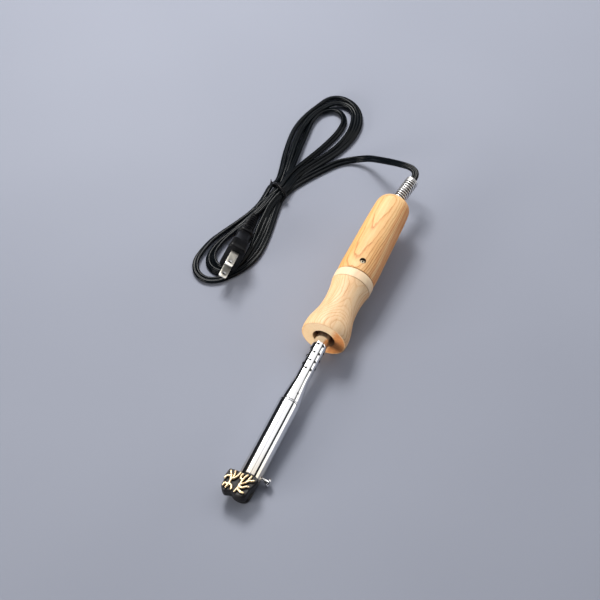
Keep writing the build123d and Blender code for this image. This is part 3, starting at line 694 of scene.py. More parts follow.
cone = [(7.62, 68.2), (7.42, 70.5), (7.1, 73.5), (6.72, 77.0), (6.35, 80.5), (6.02, 83.5), (5.76, 86.0), (5.6, 87.8), (5.52, 89.4), (5.5, 91.0)]
shank_prof = ([(7.1, 54.0), (7.1, 65.8), (7.88, 65.8), (8.0, 66.0), (8.05, 66.35), (8.0, 66.9), (7.8, 67.3), (7.7, 67.7)]
              + prof_outer(cone, 5) + [(5.5, 169.25), (8.9, 169.25), (8.9, 170.0), (4.7, 170.0), (4.7, 88.0), (6.7, 68.4), (6.3, 66.5), (6.3, 54.0)])
shank = lathe("vented_shank_tube", dense(shank_prof), 144, mats=[M_SHANK])
cuts = []
for col in range(8):
    ang = -2.4 + 45 * col
    rows = [96.8 + 7.4 * k for k in range(4)] if col not in (2, 5, 7) else [96.8 + 7.4 * (k + 0.5) for k in range(3)]
    for s in rows:
        cuts.append(cutter("v", s, ang, 1.12, 3.0, 7.0, 28))
cuts.append(cutter("d", 74.0, 35, 0.9, 6.7, 9.0, 28))
boolean(shank, join(cuts, "vents"))
weld(shank, 1e-6)
sharp_by_angle(shank, 32)

# ------------------------------------------------------------------ barrel
barrel_prof = [(7.2, 0.35), (7.3, 0.1), (7.5, 0.0), (7.72, 0.02), (7.92, 0.16), (8.0, 0.4)] + [(8.0, 0.4 + k * 65.0 / 60) for k in range(1, 60)] + \
              [(8.0, 65.3), (7.95, 65.55), (7.8, 65.7), (7.2, 65.7)]
barrel = lathe("heater_barrel_tube", barrel_prof, 160, mats=[M_BARREL])
boolean(barrel, cutter("cl", 5.0, 108, 1.75, 5.0, 11.0, 40))
weld(barrel, 1e-6)
sharp_by_angle(barrel, 32)

# ------------------------------------------------------------------ clamp screw
cs = lathe("clamp_screw_pan", [(0, 5.01), (1.3, 5.01), (1.55, 5.25)] +
           [(1.55 - (0.16 if k % 2 else 0.0), 5.6 + 0.3 * k) for k in range(21)] +
           [(1.5, 12.05), (1.6, 12.25), (3.1, 12.25), (3.34, 12.35), (3.4, 12.6), (3.4, 13.1), (3.25, 13.6), (2.85, 14.0), (2.2, 14.24), (1.2, 14.34), (0, 14.35)],
           72, closed=False, mats=[M_SCREWCH], matrix=rad_matrix(5.0, 108))
boolean(cs, slot_cut(rad_matrix(5.0, 108, spin=0.7), 0.85, 8, 0.95, 14.35))
sharp_by_angle(cs, 30)

# ------------------------------------------------------------------ stamp block with its raised veins
OUTL = [(-12.4, -0.7), (-5.0, -0.5), (3.0, -0.5), (7.6, -0.9), (8.4, -2.6), (7.7, -6.4), (6.3, -10.6),
        (5.9, -14.6), (4.9, -17.3), (2.2, -18.6), (-1.6, -18.2), (-4.6, -16.9), (-7.4, -17.2),
        (-10.4, -17.9), (-12.6, -15.8), (-13.2, -11.4), (-13.9, -6.6), (-13.6, -2.6)]
VEINS = [
    [(-11.2, -3.0), (-9.6, -6.2), (-8.6, -9.6), (-8.4, -13.0), (-9.2, -16.0)],
    [(-8.9, -9.0), (-6.4, -7.2), (-5.0, -4.2), (-4.6, -2.0)],
    [(-9.6, -6.4), (-12.2, -7.8), (-12.7, -9.6)],
    [(-8.5, -12.2), (-6.2, -13.6), (-5.2, -15.6)],
    [(-8.4, -13.2), (-11.0, -13.4), (-11.6, -15.0)],
    [(-7.6, -8.2), (-7.6, -5.0), (-8.4, -2.2)],
    [(-2.4, -17.0), (-1.4, -13.4), (-1.2, -9.4), (-0.6, -5.4), (0.8, -2.0)],
    [(-1.3, -10.6), (1.2, -8.6), (3.6, -5.8), (6.6, -4.6)],
    [(2.0, -7.8), (3.2, -4.4), (3.6, -1.8)],
    [(-1.3, -12.0), (1.4, -12.2), (3.6, -10.6), (5.2, -10.2)],
    [(-1.6, -14.2), (1.4, -15.6), (3.6, -15.8)],
    [(-0.9, -7.0), (-3.0, -5.4), (-2.6, -2.4)],
]



def stamp():
    outl = [(p.x, p.y) for p in catmull_closed([(x, y, 0) for x, y in OUTL], 16)]
    c = (-2.9, -9.2)
    n = len(outl)
    segs = []
    for v in VEINS:
        q = [(p.x, p.y) for p in catmull([(x, y, 0) for x, y in v], 5)]
        segs += list(zip(q[:-1], q[1:]))

    def vein_d(x, y):
        best = 9.0
        for (ax_, ay), (bx, by) in segs:
            dx, dy = bx - ax_, by - ay
            t = max(0.0, min(1.0, ((x - ax_) * dx + (y - ay) * dy) / (dx * dx + dy * dy + 1e-12)))
            d = math.hypot(x - ax_ - t * dx, y - ay - t * dy)
            if d < best:
                best = d
        return best
    verts, faces, ridge = [], [], []
    NR = 92
    rings = []
    for j in range(NR + 1):
        f = (j / NR) ** 0.72
        ring = []
        if j == 0:
            verts.append((c[0], c[1])); ring = [0] * n
            pts = [(c[0], c[1])]
        else:
            pts = []
            for (x, y) in outl:
                pts.append((c[0] + (x - c[0]) * f, c[1] + (y - c[1]) * f))
                ring.append(len(verts)); verts.append(pts[-1])
        rings.append(ring)
    out = []
    for i, (x, y) in enumerate(verts):
        d = vein_d(x, y)
        w = 0.78 + 0.30 * noise.noise(Vector((x * 0.42, y * 0.42, 3.1))) + 0.10 * noise.noise(Vector((x * 1.9, y * 1.9, 8.0)))
        h = max(0.0, 1.0 - (d / (w * 1.22)) ** 2)
        h = h ** 0.75 if h > 0 else 0.0
        wob = 0.10 * noise.noise(Vector((x * 0.5, y * 0.5, 0.7))) + 0.05 * noise.noise(Vector((x * 1.7, y * 1.7, 5.0)))
        out.append((x, y, 8.3 + 1.4 * min(1.0, h * 1.08) + wob - 0.28 * (1 - min(1.0, h * 2))))
        ridge.append(min(1.0, h * 1.05))
    # fall away at the rim
    for j in range(NR + 1):
        f = (j / NR) ** 0.72
        for i in set(rings[j]):
            x, y, h = out[i]
            drop = max(0.0, (f - 0.955) / 0.045) ** 2 * 0.9
            out[i] = (x, y, h - drop)
            ridge[i] *= (1 - max(0.0, (f - 0.965) / 0.035))
    for j in range(NR):
        a, b = rings[j], rings[j + 1]
        for k in range(n):
            k2 = (k + 1) % n
            if j == 0:
                faces.append((a[0], b[k], b[k2]))
            else:
                faces.append((a[k], b[k], b[k2], a[k2]))
    # walls, then the narrower lower body round the stud
    rect = []
    for k in range(n):
        x, y = outl[k]
        an = math.atan2(y - (-8.5), x - 0.0)
        cx, sy = math.cos(an), math.sin(an)
        p = 5.0
        r = 1.0 / ((abs(cx) / 6.9) ** p + (abs(sy) / 7.2) ** p) ** (1 / p)
        rect.append((r * cx, -8.5 + r * sy))
    # (outline scale, boss share, height): full outline, then the boss round the stud, whose corners are rounded in cross-section
    levels = [(1.012, 0.0, 7.0), (1.015, 0.0, 5.6), (1.01, 0.0, 4.0), (1.0, 0.0, 2.4), (0.99, 0.0, 1.0), (0.965, 0.0, 0.0),
              (0.92, 0.0, -0.6), (0.86, 0.35, -0.95), (0.86, 1.0, -1.1), (0.86, 1.0, -2.5), (0.86, 1.0, -3.6), (0.86, 1.0, -4.6),
              (0.86, 1.0, -5.5), (0.86, 1.0, -6.1), (0.86, 1.0, -6.4), (0.86, 1.0, -6.5)]
    prev = rings[-1]
    for (fo, mr, h) in levels:
        ring = []
        below = max(0.0, -2.5 - h)
        half = (3.0 + math.sqrt(max(0.0, 16.0 - below * below))) / 7.0
        for k in range(n):
            x, y = outl[k]
            px, py = c[0] + (x - c[0]) * fo, c[1] + (y - c[1]) * fo
            qx, qy = rect[k]
            qx *= half
            X, Y = px * (1 - mr) + qx * mr, py * (1 - mr) + qy * mr
            wob = 0.06 * noise.noise(Vector((X * 0.6, Y * 0.6, h * 0.6)))
            ring.append(len(out)); out.append((X + wob, min(Y + wob, -0.5), h)); ridge.append(0.0)
        for k in range(n):
            k2 = (k + 1) % n
            faces.append((prev[k], ring[k], ring[k2], prev[k2]))
        prev = ring
    out.append((0.0, -8.5, -6.5)); ridge.append(0.0)
    last = len(out) - 1
    for k in range(n):
        faces.append((prev[k], last, prev[(k + 1) % n]))
    o = ob_from("stamp_casting", [AXM @ Vector(v) for v in out], faces, mats=[M_STAMP])
    bm = bmesh.new(); bm.from_mesh(o.data)
    bmesh.ops.recalc_face_normals(bm, faces=bm.faces)
    bm.to_mesh(o.data); bm.free()
    at = o.data.attributes.new("ridge", 'FLOAT', 'POINT')
    at.data.foreach_set("value", ridge)
    return o


stamp_ob = stamp()

# ------------------------------------------------------------------ spring cord guard
LEAN = math.radians(8.0)
PIVOT = O + A * 264.0
G = A * math.cos(LEAN) + XV * math.sin(LEAN)
GX = (XV * math.cos(LEAN) - A * math.sin(LEAN))
GZ = GX.cross(G)
EXIT = PIVOT + G * 27.0


def tube(name, pts, r, seg=14, mats=(), cap=True, twist0=None):
    """round tube along points (mm)"""
    verts, faces = [], []
    t0 = (pts[1] - pts[0]).normalized()
    nv = t0.orthogonal().normalized()
    n = len(pts)
    for i, p in enumerate(pts):
        t = ((pts[min(i + 1, n - 1)] - pts[max(i - 1, 0)])).normalized()
        nv = (nv - t * nv.dot(t)).normalized()
        b = t.cross(nv)
        rr = r(i / (n - 1)) if callable(r) else r
        for k in range(seg):
            q = 2 * math.pi * k / seg
            verts.append(p + nv * (rr * math.cos(q)) + b * (rr * math.sin(q)))
    for i in range(n - 1):
        for k in range(seg):
            k2 = (k + 1) % seg
            faces.append((i * seg + k, i * seg + k2, (i + 1) * seg + k2, (i + 1) * seg + k))
    if cap:
        faces.append(tuple(range(seg))[::-1])
        faces.append(tuple((n - 1) * seg + k for k in range(seg)))
    return ob_from(name, verts, faces, mats=mats)


def guard():
    pts = []
    length = 29.0 - 1.15
    # open coils, then two closed coils at the end
    pitch_open, closed, pitch_c = 2.2, 2, 1.2
    k_open = (length - closed * pitch_c) / pitch_open
    N = int((k_open + closed) * 36)
    for i in range(N + 1):
        u = i / 36.0
        z = u * pitch_open if u <= k_open else k_open * pitch_open + (u - k_open) * pitch_c
        a = 2 * math.pi * u + 0.8
        rr = 4.7
        pts.append(PIVOT + G * (z - 2.0 + 0.575) + GX * (rr * math.cos(a)) + GZ * (rr * math.sin(a)))
    o = tube("guard_coil", pts, 0.575, 14, mats=[M_SPRING])
    # how far each point of the wire is turned towards the cord, which places the painted shade of the spring material
    inside = []
    for v in o.data.vertices:
        w = Vector(v.co) / MM - PIVOT
        r = (w - G * w.dot(G)).length
        inside.append(min(1.0, max(0.0, (4.7 + 0.575 - r) / 1.15)))
    at = o.data.attributes.new("inside", 'FLOAT', 'POINT')
    at.data.foreach_set("value", inside)
    return o


guard_ob = guard()

# ------------------------------------------------------------------ cord
LEAD = [tuple(EXIT), (4.5, 159.9, 29.9), (1.6, 164.5, 30.4), (-3.7, 166.8, 30.1), (-11.9, 168.3, 28.3), (-21.9, 171.4, 24.0),
        (-31.8, 175.9, 17.8), (-42.4, 182.1, 9.6), (-51.0, 182.3, 5.2), (-59.2, 179.5, 2.9), (-66.4, 173.5, 2.7)]
HANK = [
    (-73.5, 162.7, 2.6), (-79.0, 153.4, 2.6), (-84.0, 144.3, 2.6), (-88.2, 135.2, 2.6), (-90.5, 125.9, 2.7), (-91.2, 117.0, 3.4), (-88.9, 102.6, 3.0),
    (-85.8, 86.5, 2.6), (-83.9, 73.2, 2.5), (-83.1, 60.6, 2.5), (-85.2, 47.9, 2.5), (-89.7, 37.1, 2.5), (-95.7, 27.8, 2.5), (-101.0, 22.4, 2.5),
    (-107.3, 19.9, 2.5), (-113.6, 20.9, 2.5), (-118.8, 24.7, 2.5), (-122.3, 30.3, 2.5), (-124.0, 37.9, 2.5), (-123.3, 47.7, 2.5), (-121.6, 58.1, 2.5),
    (-118.1, 67.6, 2.6), (-114.3, 76.6, 2.7), (-110.3, 86.3, 2.8), (-106.5, 96.5, 3.0), (-103.5, 106.6, 4.2), (-103.0, 116.4, 5.2), (-103.5, 125.6, 5.6),
    (-102.0, 131.2, 4.5), (-101.3, 137.4, 3.5), (-104.1, 149.4, 3.1), (-107.4, 160.9, 3.0), (-110.1, 172.3, 2.8), (-112.2, 183.2, 2.8), (-113.5, 194.0, 2.8),
    (-113.2, 204.3, 2.8), (-111.6, 213.4, 2.8), (-109.1, 221.9, 2.8), (-106.1, 230.0, 2.8), (-103.2, 238.1, 2.8), (-97.9, 242.6, 2.8), (-91.4, 244.0, 2.8),
    (-84.1, 242.1, 2.8), (-77.3, 237.9, 2.8), (-71.7, 231.1, 2.8), (-68.1, 223.1, 2.8), (-66.5, 214.3, 2.8), (-66.6, 204.1, 2.8), (-68.5, 193.3, 2.8),
    (-72.4, 181.0, 2.8), (-78.4, 167.8, 2.9), (-84.5, 155.1, 3.0), (-88.8, 143.3, 3.2), (-93.6, 127.6, 2.8), (-93.3, 114.3, 4.0), (-91.9, 100.9, 3.4),
    (-90.2, 86.1, 2.8), (-88.8, 73.2, 2.6), (-88.5, 60.3, 2.5), (-89.4, 43.3, 2.5), (-93.3, 35.8, 2.5), (-97.7, 31.9, 2.6), (-102.2, 30.4, 2.5),
    (-106.6, 30.7, 2.5), (-110.9, 32.7, 2.5), (-114.7, 36.7, 2.5), (-117.4, 43.9, 2.5), (-116.5, 56.6, 2.6), (-112.9, 66.6, 3.0), (-109.7, 75.1, 3.4),
    (-106.3, 85.0, 3.6), (-103.4, 95.3, 3.8), (-100.7, 105.3, 4.4), (-97.5, 129.8, 2.9), (-97.7, 136.3, 3.8), (-99.8, 149.5, 4.2), (-102.2, 161.0, 4.4),
    (-104.4, 172.4, 4.4), (-106.3, 183.5, 4.3), (-107.6, 194.4, 4.2), (-107.7, 204.1, 4.0), (-106.8, 213.1, 3.8), (-104.5, 220.5, 3.8), (-101.4, 226.7, 3.8),
    (-97.1, 233.2, 3.9), (-91.4, 236.5, 3.7), (-85.7, 237.0, 3.4), (-80.3, 234.9, 3.1), (-75.5, 229.6, 2.8), (-72.5, 220.5, 2.8), (-71.0, 211.6, 2.8),
    (-71.3, 201.4, 2.8), (-73.1, 189.8, 2.9), (-77.0, 177.5, 3.2), (-82.3, 165.8, 3.6), (-87.3, 153.6, 4.4), (-89.9, 141.0, 6.0), (-90.6, 122.4, 8.2),
    (-94.1, 108.2, 7.2), (-94.1, 97.4, 5.2), (-93.5, 84.9, 3.6), (-91.9, 73.3, 2.8), (-89.4, 58.3, 2.6), (-90.5, 45.3, 2.8), (-93.5, 39.5, 3.0),
    (-96.9, 36.1, 3.2), (-100.6, 34.4, 3.3), (-104.5, 34.6, 3.3), (-108.4, 36.4, 3.3), (-112.1, 40.7, 3.2), (-114.8, 48.1, 3.1), (-113.5, 61.5, 3.2),
    (-110.5, 70.6, 4.0), (-106.6, 78.6, 5.2), (-102.9, 88.8, 6.4), (-98.6, 99.9, 7.6), (-96.4, 125.7, 8.2), (-94.3, 134.6, 6.8), (-96.0, 147.8, 5.6),
    (-98.0, 161.1, 4.4), (-100.1, 173.6, 3.4), (-101.7, 184.6, 2.9), (-103.0, 195.5, 2.8), (-104.7, 208.5, 2.8), (-102.9, 218.8, 2.8), (-99.8, 223.9, 2.8),
    (-96.3, 227.0, 2.8), (-92.6, 228.3, 2.8), (-88.8, 228.1, 2.8), (-85.1, 226.1, 2.8), (-81.7, 222.4, 2.8), (-79.0, 215.9, 2.8), (-79.3, 203.4, 2.8),
    (-81.9, 191.0, 2.8), (-85.0, 178.4, 3.2), (-88.4, 165.8, 4.2), (-91.4, 153.0, 5.8), (-93.5, 140.4, 7.4), (-93.2, 123.5, 8.4), (-96.2, 114.4, 7.4),
    (-99.7, 109.7, 6.2), (-102.4, 102.5, 4.9), (-101.8, 96.0, 4.9), (-101.0, 89.6, 5.5),
]



def nurbs_line(points, res=8):
    cu = bpy.data.curves.new("route", 'CURVE')
    cu.dimensions = '3D'
    sp = cu.splines.new('NURBS')
    sp.points.add(len(points) - 1)
    for p, q in zip(sp.points, points):
        p.co = (q[0] * MM, q[1] * MM, q[2] * MM, 1.0)
    sp.order_u = 3
    sp.use_endpoint_u = True
    sp.resolution_u = res
    ob = bpy.data.objects.new("route", cu)
    bpy.context.scene.collection.objects.link(ob)
    me = bpy.data.meshes.new_from_object(ob.evaluated_get(bpy.context.evaluated_depsgraph_get()))
    pts = [v.co.copy() / MM for v in me.vertices]
    bpy.data.objects.remove(ob)
    bpy.data.curves.remove(cu)
    bpy.data.meshes.remove(me)
    return pts


W2, T2 = 1.35, 1.35    # half spacing of the two cores, radius of each


def twin_section():
    """Outline of the grooved flat twin, width along x."""
    out = []
    for k in range(-9, 10):
        a = math.radians(k * 132 / 9)
        out.append((W2 + T2 * math.cos(a), T2 * math.sin(a)))
    out.append((0.0, 0.88))
    for k in range(-9, 10):
        a = math.radians(180 + k * 132 / 9)
        out.append((-W2 + T2 * math.cos(a), T2 * math.sin(a)))
    out.append((0.0, -0.88))
    return out


def twin(name, pts, roll, mats=()):
    sec = twin_section()
    m = len(sec)
    verts, faces = [], []
    n = len(pts)
    s = 0.0
    side = None
    for i, p in enumerate(pts):
        t = (pts[min(i + 1, n - 1)] - pts[max(i - 1, 0)]).normalized()
        if i:
            s += (pts[i] - pts[i - 1]).length
        up = Vector((0, 0, 1)) - t * t.z
        up.normalize()
        sd = t.cross(up).normalized()
        a = roll(s)
        wv = sd * math.cos(a) + up * math.sin(a)
        tv = -sd * math.sin(a) + up * math.cos(a)
        for (x, y) in sec:
            verts.append(p + wv * x + tv * y)
    for i in range(n - 1):
        for k in range(m):
            k2 = (k + 1) % m
            faces.append((i * m + k, i * m + k2, (i + 1) * m + k2, (i + 1) * m + k))
    faces.append(tuple(range(m))[::-1])
    faces.append(tuple((n - 1) * m + k for k in range(m)))
    o = ob_from(name, verts, faces, mats=mats)
    bm = bmesh.new(); bm.from_mesh(o.data)
    bmesh.ops.recalc_face_normals(bm, faces=bm.faces)
    bm.to_mesh(o.data); bm.free()
    return o


route = nurbs_line(LEAD + HANK, 7)
clean = [route[0]]
for p in route[1:]:
    if (p - clean[-1]).length > 0.25:
        clean.append(p)
route = clean
LENGTH = sum((b - a).length for a, b in zip(route[:-1], route[1:]))


def roll(s):
    base = 0.62 + 0.28 * math.sin(s / 57.0 + 0.8) + 0.16 * math.sin(s / 23.0)
    f = min(1.0, max(0.0, s / 70.0))
    f = f * f * (3 - 2 * f)
    g = min(1.0, max(0.0, (LENGTH - s) / 40.0))
    return base * f * (0.4 + 0.6 * g)


cord = twin("mains_cord", route, roll, mats=[M_CORD])
print("cord length m", round(LENGTH * MM, 4), "points", len(route))

# ------------------------------------------------------------------ twist tie
def tie():
    c = Vector((-94.0, 124.1, 6.2))
    q = Vector((0.866, -0.5, 0.0)); z = Vector((0, 0, 1)); t = Vector((0.5, 0.866, 0.0))
    loop = []
    N = 96
    for k in range(N + 1):
        a = 2 * math.pi * k / N + 3.4
        rx = 8.3 + 0.25 * math.sin(2 * a + 0.4)
        rz = 5.55 + 0.15 * math.sin(3 * a)
        loop.append(c + q * (rx * math.cos(a)) + z * (rz * math.sin(a)) + t * (0.7 * math.sin(a * 0.5 + 0.3) - 0.4))
    verts, faces = [], []
    # flat coated strip with a wire rib down its middle
    sec = [(-1.25, 0.0), (-1.2, 0.16), (-0.5, 0.2), (-0.32, 0.42), (0.0, 0.5), (0.32, 0.42), (0.5, 0.2), (1.2, 0.16), (1.25, 0.0),
           (1.2, -0.16), (0.5, -0.2), (0.0, -0.26), (-0.5, -0.2), (-1.2, -0.16)]
    m = len(sec)
    for i, p in enumerate(loop):
        d = (loop[min(i + 1, N)] - loop[max(i - 1, 0)]).normalized()
        w = t - d * t.dot(d); w.normalize()
        o_ = d.cross(w)
        if o_.dot(p - c) < 0:
            o_ = -o_
        for (x, y) in sec:
            verts.append(p + w * x + o_ * y)
    for i in range(N):
        for k in range(m):
            k2 = (k + 1) % m
            faces.append((i * m + k, i * m + k2, (i + 1) * m + k2, (i + 1) * m + k))
    faces.append(tuple(range(m))[::-1]); faces.append(tuple(N * m + k for k in range(m)))
    ring = ob_from("tie_strip", verts, faces, mats=[M_TIE])
    # the twisted ends
    base = loop[0]
    dirv = (Vector((-0.75, 0.62, -0.28))).normalized()
    u = dirv.orthogonal().normalized(); v = dirv.cross(u)
    parts = [ring]
    for ph in (0, math.pi):
        pts = []
        for k in range(61):
            f = k / 60
            rr = 0.55 if f < 0.86 else 0.55 + (f - 0.86) * 9
            a = 2 * math.pi * 3.4 * min(f, 0.86) + ph
            pts.append(base + dirv * (0.2 + 7.2 * f) + u * (rr * math.cos(a)) + v * (rr * math.sin(a)))
        parts.append(tube("tw", pts, 0.42, 10, mats=[M_TIE]))
    o = join(parts, "twist_tie")
    bm = bmesh.new(); bm.from_mesh(o.data)
    bmesh.ops.recalc_face_normals(bm, faces=bm.faces)
    bm.to_mesh(o.data); bm.free()
    return o


tie_ob = tie()

# ------------------------------------------------------------------ plug
PLV = Vector((0.13014, -0.97107, 0.20022)).normalized()
PWV = Vector((0.93724, 0.0546, -0.34438))
PWV = (PWV - PLV * PWV.dot(PLV)).normalized()
PUV = PLV.cross(PWV)
PF = Vector((-93.8, 36.2, 16.5))


def plug_pt(w, u, l):
    return PF + PWV * w + PUV * u + PLV * l


def rrect(w, h, r, n=8):
    out = []
    for cx, cy, a0 in ((w / 2 - r, h / 2 - r, 0), (-w / 2 + r, h / 2 - r, 90), (-w / 2 + r, -h / 2 + r, 180), (w / 2 - r, -h / 2 + r, 270)):
        for k in range(n + 1):
            a = math.radians(a0 + 90 * k / n)
            out.append((cx + r * math.cos(a), cy + r * math.sin(a)))
    return out


def loft(name, secs, mats=(), angle=40):
    """secs: (list of (w,u), l)"""
    verts, faces = [], []
    m = len(secs[0][0])
    for pts, l in secs:
        for (w, u) in pts:
            verts.append(plug_pt(w, u, l))
    for i in range(len(secs) - 1):
        for k in range(m):
            k2 = (k + 1) % m
            faces.append((i * m + k, i * m + k2, (i + 1) * m + k2, (i + 1) * m + k))
    faces.append(tuple(range(m))[::-1])
    faces.append(tuple((len(secs) - 1) * m + k for k in range(m)))
    o = ob_from(name, verts, faces, mats=mats)
    bm = bmesh.new(); bm.from_mesh(o.data)
    bmesh.ops.recalc_face_normals(bm, faces=bm.faces)
    bm.to_mesh(o.data); bm.free()
    sharp_by_angle(o, angle)
    return o


def plug_body():
    S = []
    # front block with rounded front edge
    for l, d in ((0.0, 1.0), (-0.12, 0.55), (-0.4, 0.2), (-0.9, 0.0)):
        S.append((rrect(14 - 2 * d, 24 - 2 * d, 3.0 - d * 0.6), l))
    S.append((rrect(14, 24, 3.0), -4.0))
    S.append((rrect(14, 24, 3.0), -9.8))
    S.append((rrect(13.9, 23.8, 3.0), -10.6))
    S.append((rrect(13.3, 22.6, 3.0), -11.5))
    # waist with finger scallops
    N = 14
    for k in range(1, N + 1):
        f = k / N
        l = -11.5 - 16.5 * f
        w = 13.3 + (10.2 - 13.3) * (f ** 0.8) - 0.9 * math.sin(math.pi * f)
        u = 22.6 + (12.4 - 22.6) * (f ** 0.9) - 0.8 * math.sin(math.pi * f)
        S.append((rrect(w, u, 3.0 + 0.6 * f), l))
    # collar
    for l, w, u in ((-28.3, 10.6, 13.0), (-28.6, 11.8, 14.4), (-29.0, 12.3, 14.9), (-30.6, 12.4, 15.0), (-31.1, 12.1, 14.7), (-31.4, 11.2, 13.8)):
        S.append((rrect(w, u, min(4.0, w / 2 - 0.5)), l))
    S.append((rrect(9.0, 11.0, 3.5), -31.5))
    o = loft("plug_shell", S, mats=[M_PLUG], angle=44)
    return o


def relief():
    secs = []
    N = 190
    m = 48
    for i in range(N + 1):
        f = i / N
        l = -31.3 - 25.7 * f
        r = 5.55 + (3.55 - 5.55) * f
        g = (l + 33.6) / -2.9
        ph = g - math.floor(g)
        if 0 <= g < 8 and ph < 0.5:
            s = math.sin(math.pi * ph / 0.5)
            r -= 0.95 * min(1.0, s * 1.6)
        if f > 0.97:
            r -= 0.5 * ((f - 0.97) / 0.03) ** 2
        secs.append(([(r * math.cos(2 * math.pi * k / m), 0.92 * r * math.sin(2 * math.pi * k / m)) for k in range(m)], l))
    return loft("plug_ribs", secs, mats=[M_PLUG], angle=50)


def blades():
    parts = []
    for u in (6.35, -6.35):
        secs = []
        T, Wd = 1.5, 6.35
        for l, dt, dw in ((-2.0, 0, 0), (14.6, 0, 0), (16.2, 0.25, 0.25), (16.8, 0.45, 0.6), (17.0, 0.6, 0.9)):
            t, w = T - 2 * dt, Wd - 2 * dw
            r = 0.18 if t > 0.5 else 0.1
            secs.append(([(x, u + y) for x, y in rrect(w, max(t, 0.3), r, 3)], l))
        b = loft("bl", secs, mats=[M_BLADE], angle=30)
        # hole
        seg = 40
        vs, fs = [], []
        for uu in (u - 3, u + 3):
            for k in range(seg):
                q = 2 * math.pi * k / seg
                vs.append(plug_pt(1.55 * math.cos(q), uu, 12.6 + 1.55 * math.sin(q)))
        for k in range(seg):
            k2 = (k + 1) % seg
            fs.append((k, k2, seg + k2, seg + k))
        fs.append(tuple(range(seg))[::-1]); fs.append(tuple(range(seg, 2 * seg)))
        c = ob_from("h", vs, fs)
        sharp_by_angle(c)
        boolean(b, c)
        sharp_by_angle(b, 30)
        parts.append(b)
    return join(parts, "plug_blade_pair")


plug_ob, relief_ob, blade_ob = plug_body(), relief(), blades()

# ------------------------------------------------------------------ what rides where, and what stands for what
for o, body, rep, slot in ((handle_front, "iron", ["handle_front"], "handle_wood"), (handle_rear, "iron", ["handle_rear"], "handle_wood"),
                           (hs, "iron", ["handle_screw"], "steel_screw"), (shank, "iron", ["vented_shank"], "shank_chrome"),
                           (barrel, "iron", ["heater_barrel"], "barrel_chrome"), (cs, "clamp", ["clamp_screw"], "clamp_chrome"),
                           (stamp_ob, "stamp", ["stamp_block", "stamp_relief"], "stamp_black"), (guard_ob, "iron", ["guard_spring"], "guard_steel"),
                           (cord, "iron", ["cord_lead", "cord_hank"], "cord_sheath"), (tie_ob, "iron", ["cord_tie"], "tie_plastic"),
                           (plug_ob, "iron", ["plug_body"], "plug_plastic"), (relief_ob, "iron", ["plug_relief"], "plug_plastic"),
                           (blade_ob, "iron", ["plug_blades"], "blade_nickel")):
    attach(o, body)
    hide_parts(*rep)

# ------------------------------------------------------------------ floor, light, camera
def mat_floor():
    n = NT("floor_paper")
    f = n.noise(n.mapping(scale=(3, 3, 3), src=n.tc.outputs["Object"]), 1.0, 2, 0.5)
    n.set(Base_Color=n.ramp(f, [(0.3, srgb(142, 146, 159)), (0.7, srgb(148, 152, 165))]), Roughness=0.85)
    n.b.inputs["Specular IOR Level"].default_value = 0.2
    return n.m


bpy.ops.mesh.primitive_plane_add(size=12, location=(0, 0, 0))
floor = bpy.context.object
floor.name = "floor_plane"
floor.data.materials.append(mat_floor())

world = bpy.data.worlds.new("studio")
bpy.context.scene.world = world
world.use_nodes = True
wt = world.node_tree
wt.nodes.clear()
wo = wt.nodes.new("ShaderNodeOutputWorld")
bg = wt.nodes.new("ShaderNodeBackground")
tcw = wt.nodes.new("ShaderNodeTexCoord")
sepw = wt.nodes.new("ShaderNodeSeparateXYZ")
rampw = wt.nodes.new("ShaderNodeValToRGB")
wt.links.new(tcw.outputs["Generated"], sepw.inputs[0])
wt.links.new(sepw.outputs[2], rampw.inputs[0])
# dark round the horizon, a soft overhead glow
rampw.color_ramp.elements[0].position = 0.0
rampw.color_ramp.elements[0].color = (0.05, 0.055, 0.065, 1)
rampw.color_ramp.elements[1].position = 1.0
rampw.color_ramp.elements[1].color = (1.10, 1.18, 1.36, 1)
for pos, c in ((0.60, (0.06, 0.066, 0.08, 1)), (0.80, (0.40, 0.43, 0.50, 1))):
    el = rampw.color_ramp.elements.new(pos)
    el.color = c
wt.links.new(rampw.outputs[0], bg.inputs[0])
bg.inputs[1].default_value = 0.36
wt.links.new(bg.outputs[0], wo.inputs[0])


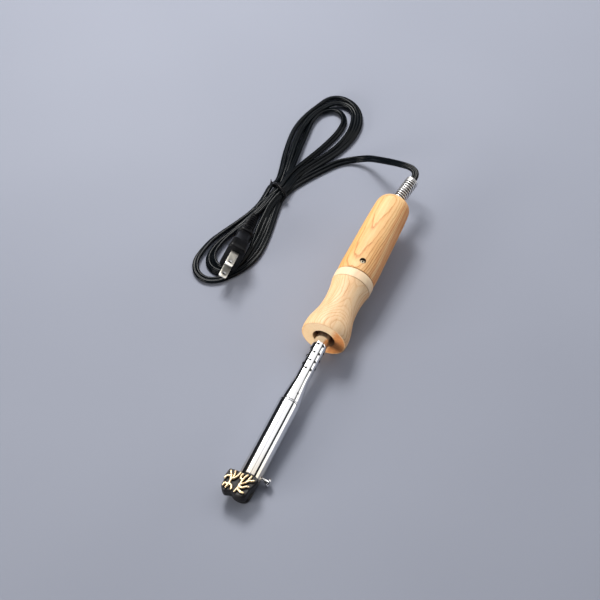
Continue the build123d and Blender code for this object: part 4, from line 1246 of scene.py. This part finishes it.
def area(name, loc, target, size, power, color=(1, 1, 1), size_y=None):
    l = bpy.data.lights.new(name, 'AREA')
    l.energy = power
    l.color = color
    if size_y:
        l.shape = 'RECTANGLE'
        l.size, l.size_y = size, size_y
    else:
        l.size = size
    o = bpy.data.objects.new(name, l)
    bpy.context.scene.collection.objects.link(o)
    o.location = loc
    o.rotation_euler = (Vector(target) - Vector(loc)).to_track_quat('-Z', 'Y').to_euler()
    return o


def soft_box(name, phi0, phi1, length, radiance, color, dist=1.22):
    """A soft box behind the iron, seen in the barrel between two directions measured round the axis from straight up."""
    c = math.radians((phi0 + phi1) / 2)
    half = math.radians((phi1 - phi0) / 2)
    d = Vector((0.843 * math.sin(c), 0.537, 0.843 * math.cos(c))).normalized()
    wdt = 2 * dist * 0.843 * math.tan(half)
    y = (Vector((0, 1, 0)) - d * d.y).normalized()
    x = y.cross(d)
    l = bpy.data.lights.new(name, 'AREA')
    l.shape = 'RECTANGLE'
    l.size, l.size_y = wdt, length
    l.energy = radiance * math.pi * wdt * length
    l.color = color
    o = bpy.data.objects.new(name, l)
    bpy.context.scene.collection.objects.link(o)
    M = Matrix((x, y, d)).transposed().to_4x4()
    o.matrix_world = Matrix.Translation(Vector((0.0, -0.08, 0.02)) + d * dist) @ M
    return o


# soft boxes behind the iron, the horizon stays dark; a smaller, brighter key inside the left one gives the shadows
soft_box("soft_left", -47, 3.2, 1.0, 1.35, (1.0, 0.98, 0.95))
soft_box("soft_top", 3.2, 43, 1.0, 1.15, (1.0, 0.99, 0.97))
soft_box("strip_right", 60, 92, 1.0, 1.7, (1.0, 0.99, 0.97))
soft_box("key", -38, -17, 0.42, 23.0, (1.0, 0.985, 0.955), dist=1.16)
area("fill_front", (-0.85, -1.30, 0.34), (0.0, 0.05, 0.03), 1.0, 25.0, (1.0, 0.975, 0.93), 0.6)


cam_d = bpy.data.cameras.new("camera")
cam = bpy.data.objects.new("camera", cam_d)
bpy.context.scene.collection.objects.link(cam)
cam.location = (0.32071, -0.77054, 1.02501)
cam.rotation_euler = (Vector((-0.03634, 0.03219, 0.0)) - cam.location).to_track_quat('-Z', 'Y').to_euler()
cam_d.sensor_width = 36.0
cam_d.lens = 108.653
cam_d.clip_start, cam_d.clip_end = 0.01, 50
bpy.context.scene.camera = cam
bpy.context.scene.view_settings.view_transform = 'Standard'
